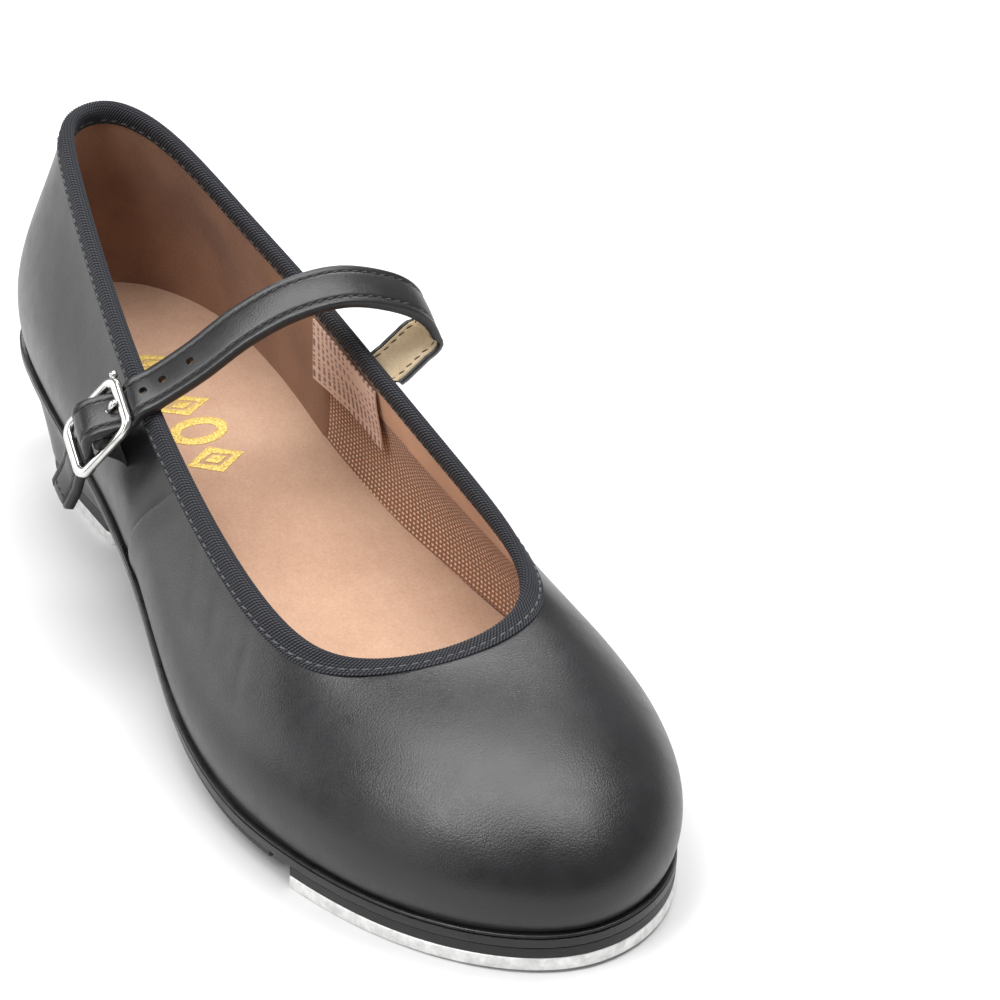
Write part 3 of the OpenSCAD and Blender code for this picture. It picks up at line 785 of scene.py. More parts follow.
def make_linings():
    canvas = lining_part(lambda v: TURNS - lining_split(v), lining_split, 0.07,
                         lambda v: lining_depth(v) - LINING_T, lining_depth, wave=0.10, columns=260)
    settle(make("vamp_lining_canvas", [canvas], CANVAS), "shoe", ["vamp_lining"])
    over = 0.3
    back = lining_part(lambda v: lining_split(v) - over, lambda v: 2 * TURNS - lining_split(v) + over, 0.07,
                       lambda v: lining_depth(v) - LINING_T, lambda v: lining_depth(v) + 0.35, wave=0.08)
    settle(make("quarter_lining_leather", [back], BROWN), "shoe", ["quarter_lining"])
    facing_low = 15.0
    parts = []
    for first, last, proud in ((14.6, 15.95, 0.2), (5.3, 14.68, 0.45), (4.05, 5.4, 0.2)):
        u = np.linspace(first, last, 160)[:, None]
        w = np.linspace(facing_low, 1.5, 16)
        v = below_top(u + 0 * w, w)
        height = proud * smooth(BINDING_W - 0.8, BINDING_W + 1.2, w) + roll_in(facing_low - w, proud, 0.6)
        front = upper(u + 0 * w, v, -lining_depth(v) - height)
        behind = upper(u + 0 * w, v, -lining_depth(v) + 0.15)
        parts.append(skin(behind, front))
    settle(make("topline_facing", parts, FACING), "shoe")


# ---- Bottom ----

ACROSS, ALONG = 22, 150     # faces of a layer from side to side and from back to front


def lining_edge(u):
    """Where the lining meets the sock, in plan."""
    u = np.asarray(u, float)
    v = np.linspace(0.02, 0.4, 40)
    p = upper(u[..., None] + 0 * v, v + 0 * u[..., None], -UPPER_T + 0 * v + 0 * u[..., None])
    gap = p[..., 2] - bed(p[..., 1]) - (SOCK_Z + SOCK_T)
    n = np.clip((gap > 0).argmax(-1), 1, len(v) - 1)[..., None]
    g0, g1 = np.take_along_axis(gap, n - 1, -1), np.take_along_axis(gap, n, -1)
    share = np.clip(-g0 / np.maximum(g1 - g0, 1e-6), 0, 1)
    p0 = np.take_along_axis(p, n[..., None], -2)[..., 0, :]
    p1 = np.take_along_axis(p, n[..., None] - 1, -2)[..., 0, :]
    return (p1 + (p0 - p1) * share)[..., :2]


def outline(edge, inset, y0=None, y1=None):
    """Closed edge of a layer in plan: back row, outer side, front row, inner side. y0 and y1 cut it."""
    tip = 0.12
    outer_u = np.linspace(0.05, TOE_U - 0.05, 240)
    inner_u = TURNS - outer_u
    outer_y, inner_y = (moved_in(edge, q, inset + 0 * q)[:, 1] for q in (outer_u, inner_u))
    a = tip if y0 is None else np.interp(y0, outer_y, outer_u)
    d = TURNS - tip if y0 is None else np.interp(y0, inner_y, inner_u)
    b = TOE_U - tip if y1 is None else np.interp(y1, outer_y, outer_u)
    c = TOE_U + tip if y1 is None else np.interp(y1, inner_y, inner_u)
    share = np.linspace(0, 1, ACROSS + 1)[:, None]

    def at(u):
        u = np.atleast_1d(np.asarray(u, float))
        return moved_in(edge, u, inset + 0 * u)

    back = at(np.linspace(-tip, tip, ACROSS + 1)) if y0 is None else at(d) + (at(a) - at(d)) * share
    front = at(np.linspace(b, c, ACROSS + 1)) if y1 is None else at(b) + (at(c) - at(b)) * share
    return np.vstack([back, at(np.linspace(a, b, ALONG + 1))[1:-1], front,
                      at(np.linspace(c, d, ALONG + 1))[1:-1]])


def cap_index():
    """The loop's points round a grid of rows and columns; -1 inside."""
    index = -np.ones((ALONG + 1, ACROSS + 1), int)
    total = 2 * (ALONG + ACROSS)
    index[0] = np.arange(ACROSS + 1)
    index[ALONG] = 2 * ACROSS + ALONG - np.arange(ACROSS + 1)
    index[1:ALONG, ACROSS] = ACROSS + np.arange(1, ALONG)
    index[1:ALONG, 0] = total - np.arange(1, ALONG)
    return index


def layer(edge, profile, y0=None, y1=None, top=None, bottom=None):
    """Closed layer of the bottom. The profile's (inset, height) pairs go from its underside round its
    edge to its top; top and bottom are further lifts of the two faces."""
    loops = []
    for inset, z in profile:
        shift = inset - profile[len(profile) // 2][0]
        xy = outline(edge, inset, None if y0 is None else y0 + shift, None if y1 is None else y1 - shift)
        loops.append(np.column_stack([xy, bed(xy[:, 1]) + z]))
    k, m = len(loops[0]), len(loops)
    points = np.vstack(loops)
    i, j = np.meshgrid(np.arange(m - 1), np.arange(k), indexing="ij")
    faces = np.stack([i * k + j, i * k + (j + 1) % k, (i + 1) * k + (j + 1) % k, (i + 1) * k + j], -1)
    faces = faces.reshape(-1, 4).tolist()
    for which, lift in ((0, bottom), (m - 1, top)):
        index = cap_index()
        index[index >= 0] += which * k
        left, right = points[index[1:ALONG, 0]], points[index[1:ALONG, ACROSS]]
        share = np.linspace(0, 1, ACROSS + 1)[1:-1]
        inside = left[:, None] + (right - left)[:, None] * share[:, None]
        extra = lift(inside[..., 0], inside[..., 1], share) if lift else 0
        inside[..., 2] = bed(inside[..., 1]) + profile[which][1] + extra
        index[1:ALONG, 1:ACROSS] = len(points) + np.arange(inside[..., 0].size).reshape(inside.shape[:2])
        points = np.vstack([points, inside.reshape(-1, 3)])
        quads = np.stack([index[:-1, :-1], index[:-1, 1:], index[1:, 1:], index[1:, :-1]], -1).reshape(-1, 4)
        faces += (quads[:, ::-1] if which == 0 else quads).tolist()
    places = points[np.concatenate([np.asarray(f) for f in faces])][:, :2]
    return points, faces, places


def rounded_side(inset, low, high, radius=0.4, tuck=2.0, steps=4):
    """Profile of a layer's edge with rounded corners."""
    a = np.linspace(0, math.pi / 2, steps + 1)
    under = [(inset + radius * (1 - math.sin(t)), low + radius * (1 - math.cos(t))) for t in a]
    over = [(i, low + high - z) for i, z in under[::-1]]
    return [(inset + tuck, low)] + under + over + [(inset + tuck, high)]


def foot_print(x, y, share):
    """Crown of the sock with the soft hollows that a heel and a ball of the foot leave."""
    crown = 0.5 * (1 - (2 * share - 1) ** 4)
    heel = -0.9 * np.exp(-((x / 15) ** 2) - (((y - 6) / 20) ** 2))
    ball = -0.7 * np.exp(-(((x + 6) / 24) ** 2) - (((y - 140) / 22) ** 2))
    uneven = 0.12 * np.sin(x * 0.31 + y * 0.17) * np.sin(y * 0.23 - x * 0.11)
    return crown + heel + ball + uneven


def tread(x, y, share):
    """Cross ribs under the rubber pad."""
    edge = np.minimum(share, 1 - share)
    return -0.35 * smooth(0.02, 0.06, edge) * (0.5 + 0.5 * np.cos(y * 2 * math.pi / 4.0)) ** 0.5


def make_sock():
    profile = [(1.2, SOCK_Z), (0.2, SOCK_Z), (-0.2, SOCK_Z + 0.35), (-0.3, SOCK_Z + 0.75),
               (-0.1, SOCK_Z + 1.08), (0.35, SOCK_Z + SOCK_T)]
    sock = make("insole_sock_suede", [layer(lining_edge, profile, top=foot_print)], SOCK, sharp=60)
    settle(sock, "shoe", ["insole_sock"])


def make_soles():
    grooved = rounded_side(-1.2, -OUTSOLE_T, 0.0, radius=0.45)
    spot = len(grooved) // 2
    grooved[spot:spot] = [(-1.2, -1.0), (-0.75, -0.8), (-1.1, -0.6)]
    sole = make("outsole_layer", [layer(feather_edge, grooved)], SOLE_BLACK)
    settle(sole, "shoe", ["outsole"])
    pad_low = -OUTSOLE_T - PAD_T
    pad = layer(feather_edge, rounded_side(-0.6, pad_low, -OUTSOLE_T, 0.3), 92, 157, bottom=tread)
    settle(make("sole_pad_rubber", [pad], RUBBER), "shoe", ["sole_pad"])
    board = layer(feather_edge, rounded_side(-1.0, -OUTSOLE_T - BOARD_T, -OUTSOLE_T, 0.25), 164)
    settle(make("tap_board_fibre", [board], BOARD_BLACK), "shoe", ["toe_tap_board"])


# ---- Screws and taps ----

HEAD_R, HEAD_H, SCREW_R = 3.0, 1.6, 1.4


def lathe(profile, centre, n=32):
    """Closed turned shape about an upright axis; the profile is (radius, height) pairs."""
    a = circle(n)
    rings = [np.column_stack([r * np.cos(a), r * np.sin(a), z + 0 * a]) + centre for r, z in profile]
    return loft(rings, flat_ends=True)


def block(size, centre, turn=0.0):
    """Closed box, used to cut slots."""
    x, y, z = (s / 2 for s in size)
    c, s = math.cos(turn), math.sin(turn)
    ring = np.array([(x, y), (-x, y), (-x, -y), (x, -y)]) @ np.array([(c, s), (-s, c)])
    return loft([np.column_stack([ring, [h] * 4]) + centre for h in (-z, z)], flat_ends=True)


def carve(piece, shells):
    """Cuts shells out of a piece and keeps the result as its mesh."""
    cutter = make(piece.name + "_cutter", shells, piece.data.materials[0])
    cut = piece.modifiers.new("cut", "BOOLEAN")
    cut.operation, cut.solver, cut.object = "DIFFERENCE", "EXACT", cutter
    graph = bpy.context.evaluated_depsgraph_get()
    done = bpy.data.meshes.new_from_object(piece.evaluated_get(graph))
    piece.modifiers.clear()
    piece.data = done
    bpy.data.objects.remove(cutter)
    done.polygons.foreach_set("use_smooth", [True] * len(done.polygons))
    done.set_sharp_from_angle(angle=math.radians(35))
    return piece


def screw_hole(centre):
    play = 0.08
    wide, narrow = HEAD_R + play, SCREW_R + play
    return lathe([(wide, -1), (wide, 0), (narrow, HEAD_H), (narrow, 6)], centre)


def screws(name, places, length, nodes, body):
    """Countersunk screws with a cross recess in each domed head."""
    shells, recess = [], []
    for n, centre in enumerate(places):
        shells.append(lathe([(0.02, -0.12), (1.6, -0.10), (2.7, 0.02), (HEAD_R, 0.18), (SCREW_R, HEAD_H),
                             (SCREW_R, length - 1), (0.3, length)], centre))
        for quarter in (0, 1):
            recess.append(block((3.0, 0.55, 1.5), centre, turn=0.4 + n + quarter * math.pi / 2))
    piece = make(name, shells, STEEL)
    for one in recess:
        carve(piece, [one])
    settle(piece, body, nodes)


def make_taps():
    spots = [np.array([x, y, float(bed(y)) - SOLE_T + 0.3]) for x, y in TOE_SCREWS]
    tap = layer(feather_edge, rounded_side(-1.1, -SOLE_T, -OUTSOLE_T - BOARD_T, 0.35), 164)
    toe = make("toe_tap_plate", [tap], ALUMINIUM)
    settle(carve(toe, [screw_hole(c) for c in spots]), "shoe", ["toe_tap"])
    screws("toe_tap_screw_set", spots, 7.0, ["toe_tap_screws"], "shoe")
    spots = [np.array([x, y, 0.3]) for x, y in HEEL_SCREWS]
    heel = make("heel_tap_plate", [heel_layers([(0.5, 0), (0.15, 0.06), (0, 0.3), (0, TAP_T - 0.2),
                                                (0.2, TAP_T)])], ALUMINIUM)
    settle(carve(heel, [screw_hole(c) for c in spots]), "shoe", ["heel_tap"])
    screws("heel_tap_screw_set", spots, 14.0, ["heel_tap_screws"], "shoe")


# ---- Heel ----

def heel_outline(h, inset=0.0, n=40):
    """Outline of the heel at the height share h: straight sides, round back, flat front, soft corners."""
    w = 18.5 + 5 * h ** 1.4 - inset
    back = -(22.5 + 4 * h ** 1.6) + inset
    front = 27 - 3.5 * math.sin(math.pi * h) + 4 * h ** 3 - inset
    r = 1.6
    bend = np.linspace(0, math.pi / 2, 6)
    corner = [(w * 0.96 - r + r * math.sin(t), front - r + r * math.cos(t)) for t in bend]
    flank = [(w * (1 - 0.04 * y / front), y) for y in (18, 12, 6)]
    round_back = [(w * math.cos(t), back * math.sin(t)) for t in np.linspace(0, math.radians(89), n)]
    half = np.array([(w * 0.4, front)] + corner + flank + round_back)
    return np.vstack([half, (half * (-1, 1))[::-1]])


def heel_layers(profile, h=0.0):
    """Flat plate of the heel's outline: (inset, height) pairs from its underside to its top."""
    loops = [(heel_outline(h, inset), z) for inset, z in profile]
    return loft([np.column_stack([xy, np.full(len(xy), z)]) for xy, z in loops], flat_ends=True)


def make_heel():
    low = TAP_T + TOP_PIECE_T
    sections = []
    for i, t in enumerate(np.linspace(0, 1, 36)):
        edge = 0.25 * (1 - smooth(0, 0.03, t)) + 0.25 * smooth(0.97, 1, t)
        xy = heel_outline((low + (HEEL_H - low) * t) / HEEL_H, edge)
        sections.append(np.column_stack([xy, low + (bed(xy[:, 1]) - OUTSOLE_T - low) * t]))
    settle(make("heel_block_cover", [loft(sections)], HEEL_BLACK), "shoe", ["heel_block"])
    piece = heel_layers([(0.3, TAP_T), (0, TAP_T + 0.2), (0, low - 0.3), (0.3, low)], TAP_T / HEEL_H)
    settle(make("heel_top_piece_rubber", [piece], RUBBER), "shoe", ["heel_top_piece"])


# ---- Strap ----

STRAP_TILT = math.radians(31)
STRAP_WIDE = np.array([0, math.cos(STRAP_TILT), -math.sin(STRAP_TILT)])
STRAP_U = 15.15
STRAP_PATH = np.array([
    (-42, 71.5, 64.5), (-40, 72.5, 71), (-33.5, 73, 76.5), (-21.5, 73, 81), (-9.5, 72.5, 80.5),
    (1.5, 71, 76), (11.8, 69.5, 69.3), (20.5, 67.8, 64.2)])
BUCKLE_AT = np.array([33, 63.5, 55.1])
BUCKLE_TURNS = (-25.5, -31.0, -9.5)
UNDER_X = -(FRAME_T / 2 + STRAP_T / 2 + 0.3)
OVER_X = BAR_D / 2 + 1 + STRAP_T / 2 + 0.1
TAIL = [(UNDER_X, 0, 10.8), (UNDER_X, 0, 7.2), (OVER_X, 0, 1.6), (OVER_X, 0, -1.6), (UNDER_X, 0, -7.2),
        (UNDER_X, 0, -11), (UNDER_X - 1.4, 0.6, -15), (UNDER_X - 2.4, 1.6, -20.5)]
HOLE_T = [6.1, 6.78, 7.5]
HOLE_R = 0.9
FOLD_T = 1.7                # place along the path where the free strap starts


def buckle_axes():
    """The buckle's own axes as columns: out of the shoe, across and up the strap."""
    axes = np.eye(3)
    for way, angle in zip("XYZ", BUCKLE_TURNS):
        axes = axes @ np.array(Matrix.Rotation(math.radians(angle), 3, way))
    return axes


AXES = buckle_axes()


def from_buckle(p):
    """Place of a point given in the buckle's own axes."""
    return BUCKLE_AT + np.asarray(p, float) @ AXES.T


def curve(points, t):
    """Point of the open curve that passes through the points."""
    t = np.asarray(t, float)
    n = len(points)
    i = np.clip(np.floor(t).astype(int), 0, n - 2)
    f = (t - i)[..., None]
    b, c = points[i], points[i + 1]
    a = np.where((i > 0)[..., None], points[np.maximum(i - 1, 0)], 2 * b - c)
    d = np.where((i < n - 2)[..., None], points[np.minimum(i + 2, n - 1)], 2 * c - b)
    return b + 0.5 * f * (c - a + f * (2 * a - 5 * b + 4 * c - d + f * (3 * b - a - 3 * c + d)))


def strap_path():
    """The strap's middle line from its sewn end on the inner quarter to its tip, and the place of the
    fold's point on it."""
    base = [upper(np.array(STRAP_U), np.array(v), np.array(d)) for v, d in
            ((0.6, 1.35), (0.72, 1.35), (0.84, 1.6))]
    base += [(-34.0, 72.4, 59.1), (-38.2, 71.9, 61.7)]
    return np.vstack([base, STRAP_PATH, from_buckle(TAIL)]), len(base)


PATH, FOLD = strap_path()


def strap_frame(t):
    """Middle, side and outward direction of the strap at the places t."""
    e = 0.02
    top = len(PATH) - 1
    along = unit(curve(PATH, np.minimum(t + e, top)) - curve(PATH, np.maximum(t - e, 0)))
    twist = np.clip((t - FOLD) / 7, 0, 1)[:, None]
    wide = STRAP_WIDE + (AXES[:, 1] - STRAP_WIDE) * twist
    side = unit(wide - along * (along * wide).sum(-1)[:, None])
    return curve(PATH, t), side, np.cross(along, side)


def even_places(t0, t1, spacing):
    """Places between t0 and t1 at even distances."""
    t = np.linspace(t0, t1, 800)
    way = running(curve(PATH, t))
    return np.interp(np.linspace(0, way[-1], int(way[-1] / spacing) + 1), way, t)


ACROSS_X = np.array([0, 0.9, 1.8, 2.5, 2.95, 3.15, 3.35, 3.55, 3.9, 4.35, 4.45, 4.75, 5.0, 5.17, 5.25])
SEAM_X = 3.35               # from the strap's middle to each row of stitches
LINING_HALF = 4.3           # half the width of the strap's suede
INNER_STITCH_R = 0.17       # radius of the thread on the suede's side


def strap_top(x):
    """Outer face of the strap: padded middle, stitch grooves and rounded edges."""
    x = np.abs(x)
    pad = 0.2 * (1 - np.minimum(x / 3.1, 1) ** 2)
    groove = -0.30 * bell(x - SEAM_X, 0.26)
    rim = roll_in(STRAP_W / 2 - x, 0.85, 0.8)
    return STRAP_T / 2 + pad + groove + rim


def strap_under(x):
    """Inner face of the strap's leather: turned-in edges round the lining's recess."""
    x = np.abs(x)
    recess = STRAP_LINING_T + 0.05
    return -STRAP_T / 2 + recess * (1 - smooth(4.35, 4.45, x)) - roll_in(STRAP_W / 2 - x, 0.5, 0.5)


def lining_top(x):
    """Face of the strap's suede that lies against the leather."""
    return -STRAP_T / 2 + STRAP_LINING_T + 0 * np.asarray(x)


def lining_under(x):
    """Bare face of the strap's suede, with its stitch grooves."""
    groove = 0.14 * bell(np.abs(x) - SEAM_X, 0.25)
    return -STRAP_T / 2 - 0.12 + groove - roll_in(LINING_HALF - np.abs(x), 0.3, 0.35)


def strap_band(t0, t1, high, low, half, open_end=None, spacing=0.7):
    """Closed band along the strap's path between two faces given across its width."""
    t = even_places(t0, t1, spacing)
    middle, side, out = strap_frame(t)
    x = ACROSS_X[ACROSS_X < half - 0.01]
    x = np.concatenate([x, [half]])
    x = np.concatenate([-x[:0:-1], x])
    way = running(middle)
    to_end = {"start": way, "tip": way[-1] - way, None: way + 99}[open_end]
    narrow = 1 + roll_in(to_end, 0.8, 0.9) / half
    thin = 1 + roll_in(to_end, 0.5, 0.7)
    centre = (high(0.0) + low(0.0)) / 2
    rows = []
    for face_of in (high, low):
        d = centre + (face_of(x)[None] - centre) * thin[:, None]
        across = side[:, None] * (x * narrow[:, None])[..., None]
        rows.append(middle[:, None] + across + out[:, None] * d[..., None])
    return skin(*rows)


def strap_rows(t0, t1, high, sign=1.0, radius=0.25):
    """Both rows of stitches along a stretch of the strap, on one face."""
    shells = []
    for x in (-SEAM_X, SEAM_X):
        t = even_places(t0, t1, 0.6)
        middle, side, out = strap_frame(t)
        line = middle + side * x + out * high(x)
        shells += stitches(line, out * sign, 2.35, length=1.75, radius=radius, lean=0.2 * sign)
    return shells


def cross_row(t, high):
    """Row of stitches across the strap at the place t."""
    middle, side, out = strap_frame(np.array([t]))
    x = np.linspace(-SEAM_X, SEAM_X, 12)
    return stitches(middle + x[:, None] * side + high(x)[:, None] * out, out + 0 * x[:, None], 2.3,
                    length=1.6, radius=0.2, start=0.1)


def rod(t, radius):
    """Upright rod through the strap at the place t, to cut a hole."""
    middle, side, out = (a[0] for a in strap_frame(np.array([t])))
    along = np.cross(out, side)
    a = circle(20)
    ring = np.cos(a)[:, None] * side + np.sin(a)[:, None] * along
    return loft([middle + out * h + radius * ring for h in (-2, 2)], flat_ends=True)


PRONG_HOLE_T = FOLD + len(STRAP_PATH) + 1.24
PRONG_HOLE_R = 1.25


def strap_stretch(name, span, sewn, across_at, leather_end, suede_end):
    """Leather, suede, outer and inner stitches of one stretch of the strap, in that order."""
    band = strap_band(*span, strap_top, strap_under, STRAP_W / 2, leather_end)
    suede_band = strap_band(*span, lining_top, lining_under, LINING_HALF, suede_end)
    outer = strap_rows(*sewn, strap_top) + cross_row(across_at, strap_top)
    inner = strap_rows(*sewn, lining_under, -1.0, INNER_STITCH_R)
    looks = (("leather", [band], STRAP_BLACK), ("suede", [suede_band], BEIGE),
             ("stitches", outer, BLACK_THREAD), ("inner_stitches", inner, DARK_THREAD))
    return [make(f"{name}_{kind}", shells, material) for kind, shells, material in looks]


def make_strap():
    """The fold runs from the shoe to the strap and rides no body; the free stretch rides the strap."""
    split, tip = FOLD + FOLD_T, len(PATH) - 1.0
    slots = ("strap_leather", "suede_lining", "strap_leather", "suede_lining")
    fold = strap_stretch("strap_fold", (0.0, split), (0.1, split), 0.12, "start", None)
    for piece, slot in zip(fold, slots):
        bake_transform(piece)
    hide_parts("strap_base")
    free = strap_stretch("strap_free", (split, tip), (split, tip - 0.25), tip - 0.3, "tip", "tip")
    rods = [rod(FOLD + t, HOLE_R) for t in HOLE_T] + [rod(PRONG_HOLE_T, PRONG_HOLE_R)]
    for piece in free[:2]:
        carve(piece, rods)
    nodes = (["strap", "strap_tail"], ["strap_lining"], (), ())
    for piece, slot, stood_for in zip(free, slots, nodes):
        settle(piece, "strap", stood_for)


# ---- Buckle and elastic ----

def rounded_rectangle(half_l, half_w, r, n=9, straight=7):
    """Closed line of a rectangle with round corners, and its outward direction, in the buckle's plane."""
    points, outs = [], []
    for k, (sy, sz) in enumerate(((1, 1), (-1, 1), (-1, -1), (1, -1))):
        for a in np.linspace(0, math.pi / 2, n):
            t = a + k * math.pi / 2
            outs.append((math.cos(t), math.sin(t)))
            points.append((sy * (half_w - r) + r * math.cos(t), sz * (half_l - r) + r * math.sin(t)))
        a = np.array(points[-1])
        t = (k + 1) * math.pi / 2
        nxt = ((-1, 1), (-1, -1), (1, -1), (1, 1))[k]
        b = np.array((nxt[0] * (half_w - r) + r * math.cos(t), nxt[1] * (half_l - r) + r * math.sin(t)))
        for s in np.linspace(0, 1, straight)[1:-1]:
            points.append(tuple(a + (b - a) * s))
            outs.append((math.cos(t), math.sin(t)))
    return np.array(points), np.array(outs)


def buckle_frame():
    line, outs = rounded_rectangle(BUCKLE_L / 2 - 1.2, BUCKLE_W / 2 - 1.1, 2.6)
    sections = []
    for (y, z), (oy, oz) in zip(line, outs):
        half = 1.05 + 0.2 * abs(oz)
        ring = rounded(half, FRAME_T / 2, 20, 2.7)
        sections.append([(d, y + oy * w, z + oz * w) for w, d in ring])
    return loft(from_buckle(np.array(sections)), ring=True)


def cross_bar():
    a = circle(24)
    rings = []
    for y in np.linspace(-1, 1, 17):
        r = BAR_D / 2 * (1 + 0.12 * abs(y) ** 6)
        rings.append(np.column_stack([r * np.cos(a), 0 * a + y * (BUCKLE_W / 2 - 1.0), r * np.sin(a)]))
    return loft(from_buckle(np.array(rings)), flat_ends=True)


def ball(centre, radius, n=16):
    rings = []
    a = circle(n)
    for t in np.linspace(0.06, math.pi - 0.06, n // 2 + 1):
        r = radius * math.sin(t)
        rings.append(np.column_stack([r * np.cos(a), r * np.sin(a), 0 * a + radius * math.cos(t)]) + centre)
    return loft(rings, flat_ends=True)


def prong():
    """Tongue curled round the bar, resting on the frame's upper end."""
    ring_r = BAR_D / 2 + 0.5
    turn = [(ring_r * math.cos(t), ring_r * math.sin(t)) for t in np.radians(np.arange(-250, -5, 20))]
    arm = [(1.55, 0.9), (1.6, 2.4), (1.1, 4.4), (1.0, 5.5), (1.35, 6.6), (1.48, 7.7), (1.42, 8.7)]
    line = np.array(turn + arm)
    t = np.linspace(0, len(line) - 1, 60)
    path = curve(line, t)
    way = running(path)
    tangent = unit(np.gradient(path, axis=0))
    outs = np.column_stack([tangent[:, 1], -tangent[:, 0]])
    sections = []
    for p, o, w in zip(path, outs, way):
        to_tip = way[-1] - w
        half_w = 0.7 + 0.28 * math.exp(-((to_tip - 1.5) / 1.3) ** 2) + float(roll_in(to_tip, 0.55, 1.1))
        half_t = 0.42 + 0.1 * float(smooth(way[-1] - 9, way[-1] - 4, w)) + float(roll_in(to_tip, 0.3, 0.5))
        sections.append([(p[0] + o[0] * d, y, p[1] + o[1] * d) for y, d in rounded(half_w, half_t, 14, 2.3)])
    return loft(from_buckle(np.array(sections)), flat_ends=True)


def make_buckle():
    nub = ball(from_buckle((0.1, -BUCKLE_W / 2 + 0.5, BUCKLE_L / 2 - 0.8)), 0.95)
    shells = [buckle_frame(), cross_bar(), nub]
    settle(make("buckle_frame_nickel", shells, NICKEL), "buckle", ["buckle_frame"])
    settle(make("buckle_prong_nickel", [prong()], NICKEL), "prong", ["buckle_prong"])


LOOP_T = 0.9
ELASTIC_HALF = 4.2
ELASTIC_W = 12.5
ELASTIC_RIBS = 11
PRONG_SLOT = 2.6            # gap in the elastic's loop for the prong
SEWN_ROWS = ((0.58, -1.5), (0.63, -0.1))    # height on the upper and distance outwards


def elastic_edge(u, sign, high):
    """Long edge of the elastic from the quarter to the centre bar."""
    start = [upper(np.array(u), np.array(v), np.array(d + LOOP_T * high)) for v, d in SEWN_ROWS]
    end = [from_buckle((-BAR_D / 2 - 1.2 - LOOP_T * (1 - high), sign * ELASTIC_HALF, z)) for z in (-2.8, 1)]
    return np.array(start + end)


def elastic_lobes():
    """Both lobes of the elastic round the centre bar, with the prong's slot between them."""
    lobe = (ELASTIC_W - PRONG_SLOT - 2.4) / 2
    a = circle(48)
    shells = []
    for side in (-1, 1):
        ys = np.linspace(PRONG_SLOT / 2, PRONG_SLOT / 2 + lobe, 25) * side
        outer = BAR_D / 2 + 0.95 - 0.08 * np.cos(ys * 2 * math.pi / 0.75)
        outer[[0, -1]] -= 0.3
        inner = BAR_D / 2 + 0.05
        profile = [(r, y) for r, y in zip(outer, ys)] + [(inner, ys[-1]), (inner, ys[0])]
        rings = [[(r * math.cos(q), y, r * math.sin(q)) for r, y in profile] for q in a]
        shells.append(loft(from_buckle(np.array(rings)), ring=True))
    return shells


def make_elastic():
    t = np.linspace(0, 3, 40)
    share = np.linspace(0, 1, 67)
    rib = 0.14 * np.cos(share * 2 * math.pi * ELASTIC_RIBS)
    faces = []
    for high in (1, 0):
        a, b = curve(elastic_edge(4.78, 1, high), t), curve(elastic_edge(4.36, -1, high), t)
        faces.append(a[:, None] + (b - a)[:, None] * share[:, None])
    out = unit(faces[0] - faces[1])
    faces[0] = faces[0] + out * rib[:, None]
    band = make("elastic_band_weave", [skin(*faces)], ELASTIC)
    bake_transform(band)
    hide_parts("elastic_band")
    loop = make("elastic_loop_weave", elastic_lobes(), ELASTIC)
    settle(loop, "elastic_end", ["elastic_loop"])


# ---- Ornament and label ----

def sock_height(x, y):
    return bed(y) + SOCK_Z + SOCK_T + foot_print(x, y, 0.5 + np.asarray(x) / 50)


def motif(cx, cy, outer, inner, thick=0.22):
    """Flat closed band between two outlines round a centre, pressed onto the sock."""
    n = 72
    a = circle(n)
    rings = []
    for shape, lift in ((outer, -0.25), (outer, thick * 0.7), (0.93, thick), (1.12, thick),
                        (inner, thick * 0.7), (inner, -0.25)):
        base = shape if callable(shape) else (lambda q, s=shape: (outer(q) * s if s < 1 else inner(q) * s))
        r = base(a)
        x, y = cx + r[0], cy + r[1]
        rings.append(np.column_stack([x, y, sock_height(x, y) + lift]))
    return loft(np.array(rings).transpose(1, 0, 2), ring=True)


def oval(half_x, half_y, power=1.0):
    """Outline of an oval, or of a lozenge when the power is above 1."""
    def shape(a):
        c, s = np.cos(a), np.sin(a)
        return np.array([half_x * np.sign(c) * np.abs(c) ** power, half_y * np.sign(s) * np.abs(s) ** power])
    return shape


def make_ornament():
    """Row of generic gold rings and lozenges along the sock."""
    shells = []
    for n in range(5):
        y = 15.5 + 9.6 * n
        power = 1.0 if n % 2 else 2.0
        shells.append(motif(2.0, y, oval(6.9, 4.2, power), oval(4.3, 2.1, power)))
        if n % 2 == 0:
            shells.append(motif(2.0, y, oval(2.7, 1.4, 2.0), oval(0.3, 0.15, 2.0)))
    settle(make("sock_ornament_gold", shells, GOLD), "shoe")


def make_label():
    """Label that hangs from the topline inside the inner wall."""
    u = np.linspace(14.92, 15.86, 30)
    drop = np.linspace(0, 15.0, 24)
    top = upper(u, below_top(u, 4.5 + 0 * u), -lining_depth(0.95) - 0.75 + 0 * u)
    sway = 1.6 * np.sin(drop / 15 * math.pi / 2) ** 2
    lean = np.sin(np.linspace(0, math.pi, len(u)))[:, None] * 0.5 + np.linspace(0.9, -0.2, len(u))[:, None]
    faces = []
    for thick in (0, 0.35):
        x = top[:, :1] + thick + sway * lean * -1
        faces.append(np.stack([x, top[:, 1:2] + 0 * drop, top[:, 2:] - drop], -1))
    sheet = skin(*faces)
    settle(make("size_label_weave", [sheet], LABEL), "shoe", ["size_label"])


# ---- Carried-over CAD pieces ----

def dress(node, material):
    """Gives a hidden CAD piece its material."""
    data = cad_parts[node].data
    data.materials.clear()
    data.materials.append(material)


def dress_inner_pieces():
    for node, material in (("toe_puff", FELT), ("heel_counter", FELT), ("insole_board", FIBRE),
                           ("shank", SPRING), ("bottom_filler", CORK), ("heel_fixings", STEEL)):
        dress(node, material)


# ---- Camera, floor and light ----

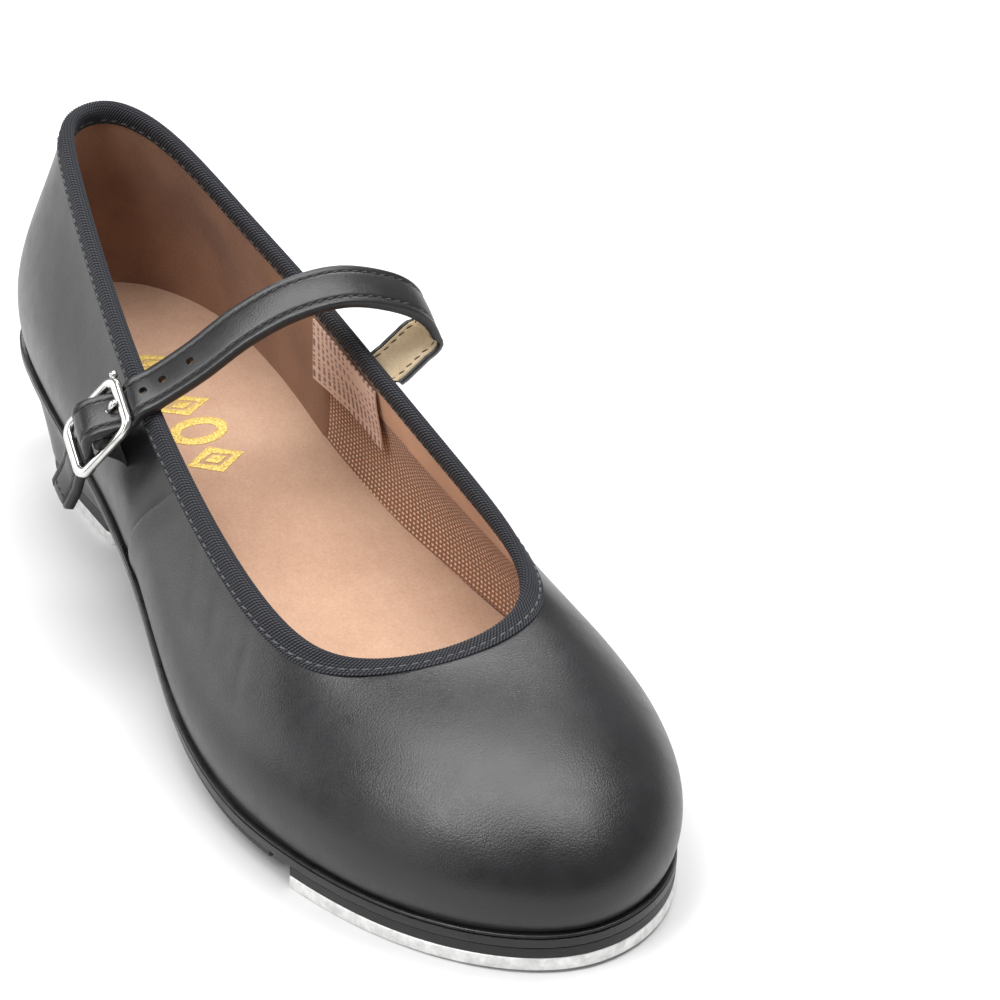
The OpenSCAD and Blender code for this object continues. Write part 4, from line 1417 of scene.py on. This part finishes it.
def make_camera():
    """Long lens, high in front of the outer side of the toe."""
    turn, rise = math.radians(26.6), math.radians(31.56)
    data = bpy.data.cameras.new("camera")
    data.sensor_width = 36.0
    data.lens = 152.06
    data.clip_end = 20.0
    camera = bpy.data.objects.new("camera", data)
    bpy.context.scene.collection.objects.link(camera)
    camera.location = Vector((305.3, 800.4, 516.5)) * MM
    ahead = -Vector((math.sin(turn) * math.cos(rise), math.cos(turn) * math.cos(rise), math.sin(rise)))
    camera.rotation_euler = ahead.to_track_quat("-Z", "Y").to_euler()
    bpy.context.scene.camera = camera


def area_light(name, place, target, size, power):
    """Rectangular light that faces its target, in metres and watts."""
    data = bpy.data.lights.new(name, "AREA")
    data.shape = "RECTANGLE"
    data.size, data.size_y = size
    data.energy = power
    light = bpy.data.objects.new(name, data)
    bpy.context.scene.collection.objects.link(light)
    light.location = place
    light.rotation_euler = (Vector(target) - Vector(place)).to_track_quat("-Z", "Y").to_euler()


FLOOR_HALF = 6.0            # metres
WORLD_LIGHT = 0.32


def make_studio():
    m = Maker("floor_paper", Roughness=0.75)
    mottle = m.noise(m.place(), 40, 2)
    m.colour(m.mix(mottle, grey(0.62), grey(0.65)))
    mesh = bpy.data.meshes.new("floor")
    s = FLOOR_HALF
    mesh.from_pydata([(-s, -s, 0), (s, -s, 0), (s, s, 0), (-s, s, 0)], [], [(0, 1, 2, 3)])
    mesh.materials.append(m.material)
    floor = bpy.data.objects.new("floor", mesh)
    bpy.context.scene.collection.objects.link(floor)
    world = bpy.data.worlds.new("studio")
    world.use_nodes = True
    world.node_tree.nodes["Background"].inputs["Color"].default_value = (0.99, 0.99, 1.0, 1)
    world.node_tree.nodes["Background"].inputs["Strength"].default_value = WORLD_LIGHT
    bpy.context.scene.world = world
    centre = (-0.005, 0.1, 0.04)
    for name, place, size, power in (
            ("overhead", (-0.12, 0.15, 1.3), (1.0, 1.6), 29.0),
            ("front", (0.75, 0.25, 1.1), (0.6, 0.5), 7.0),
            ("side", (1.1, 0.3, 0.45), (0.5, 0.7), 2.0),
            ("card", (0.87, -0.75, 0.3), (0.6, 0.5), 2.5),
            ("back", (-0.5, -0.9, 0.8), (0.9, 0.5), 8.0)):
        area_light(name, place, centre, size, power)
    bpy.context.scene.view_settings.view_transform = "Standard"


make_camera()
make_upper()
make_binding()
make_linings()
make_sock()
make_soles()
make_taps()
make_heel()
make_strap()
make_buckle()
make_elastic()
make_ornament()
make_label()
dress_inner_pieces()
make_studio()
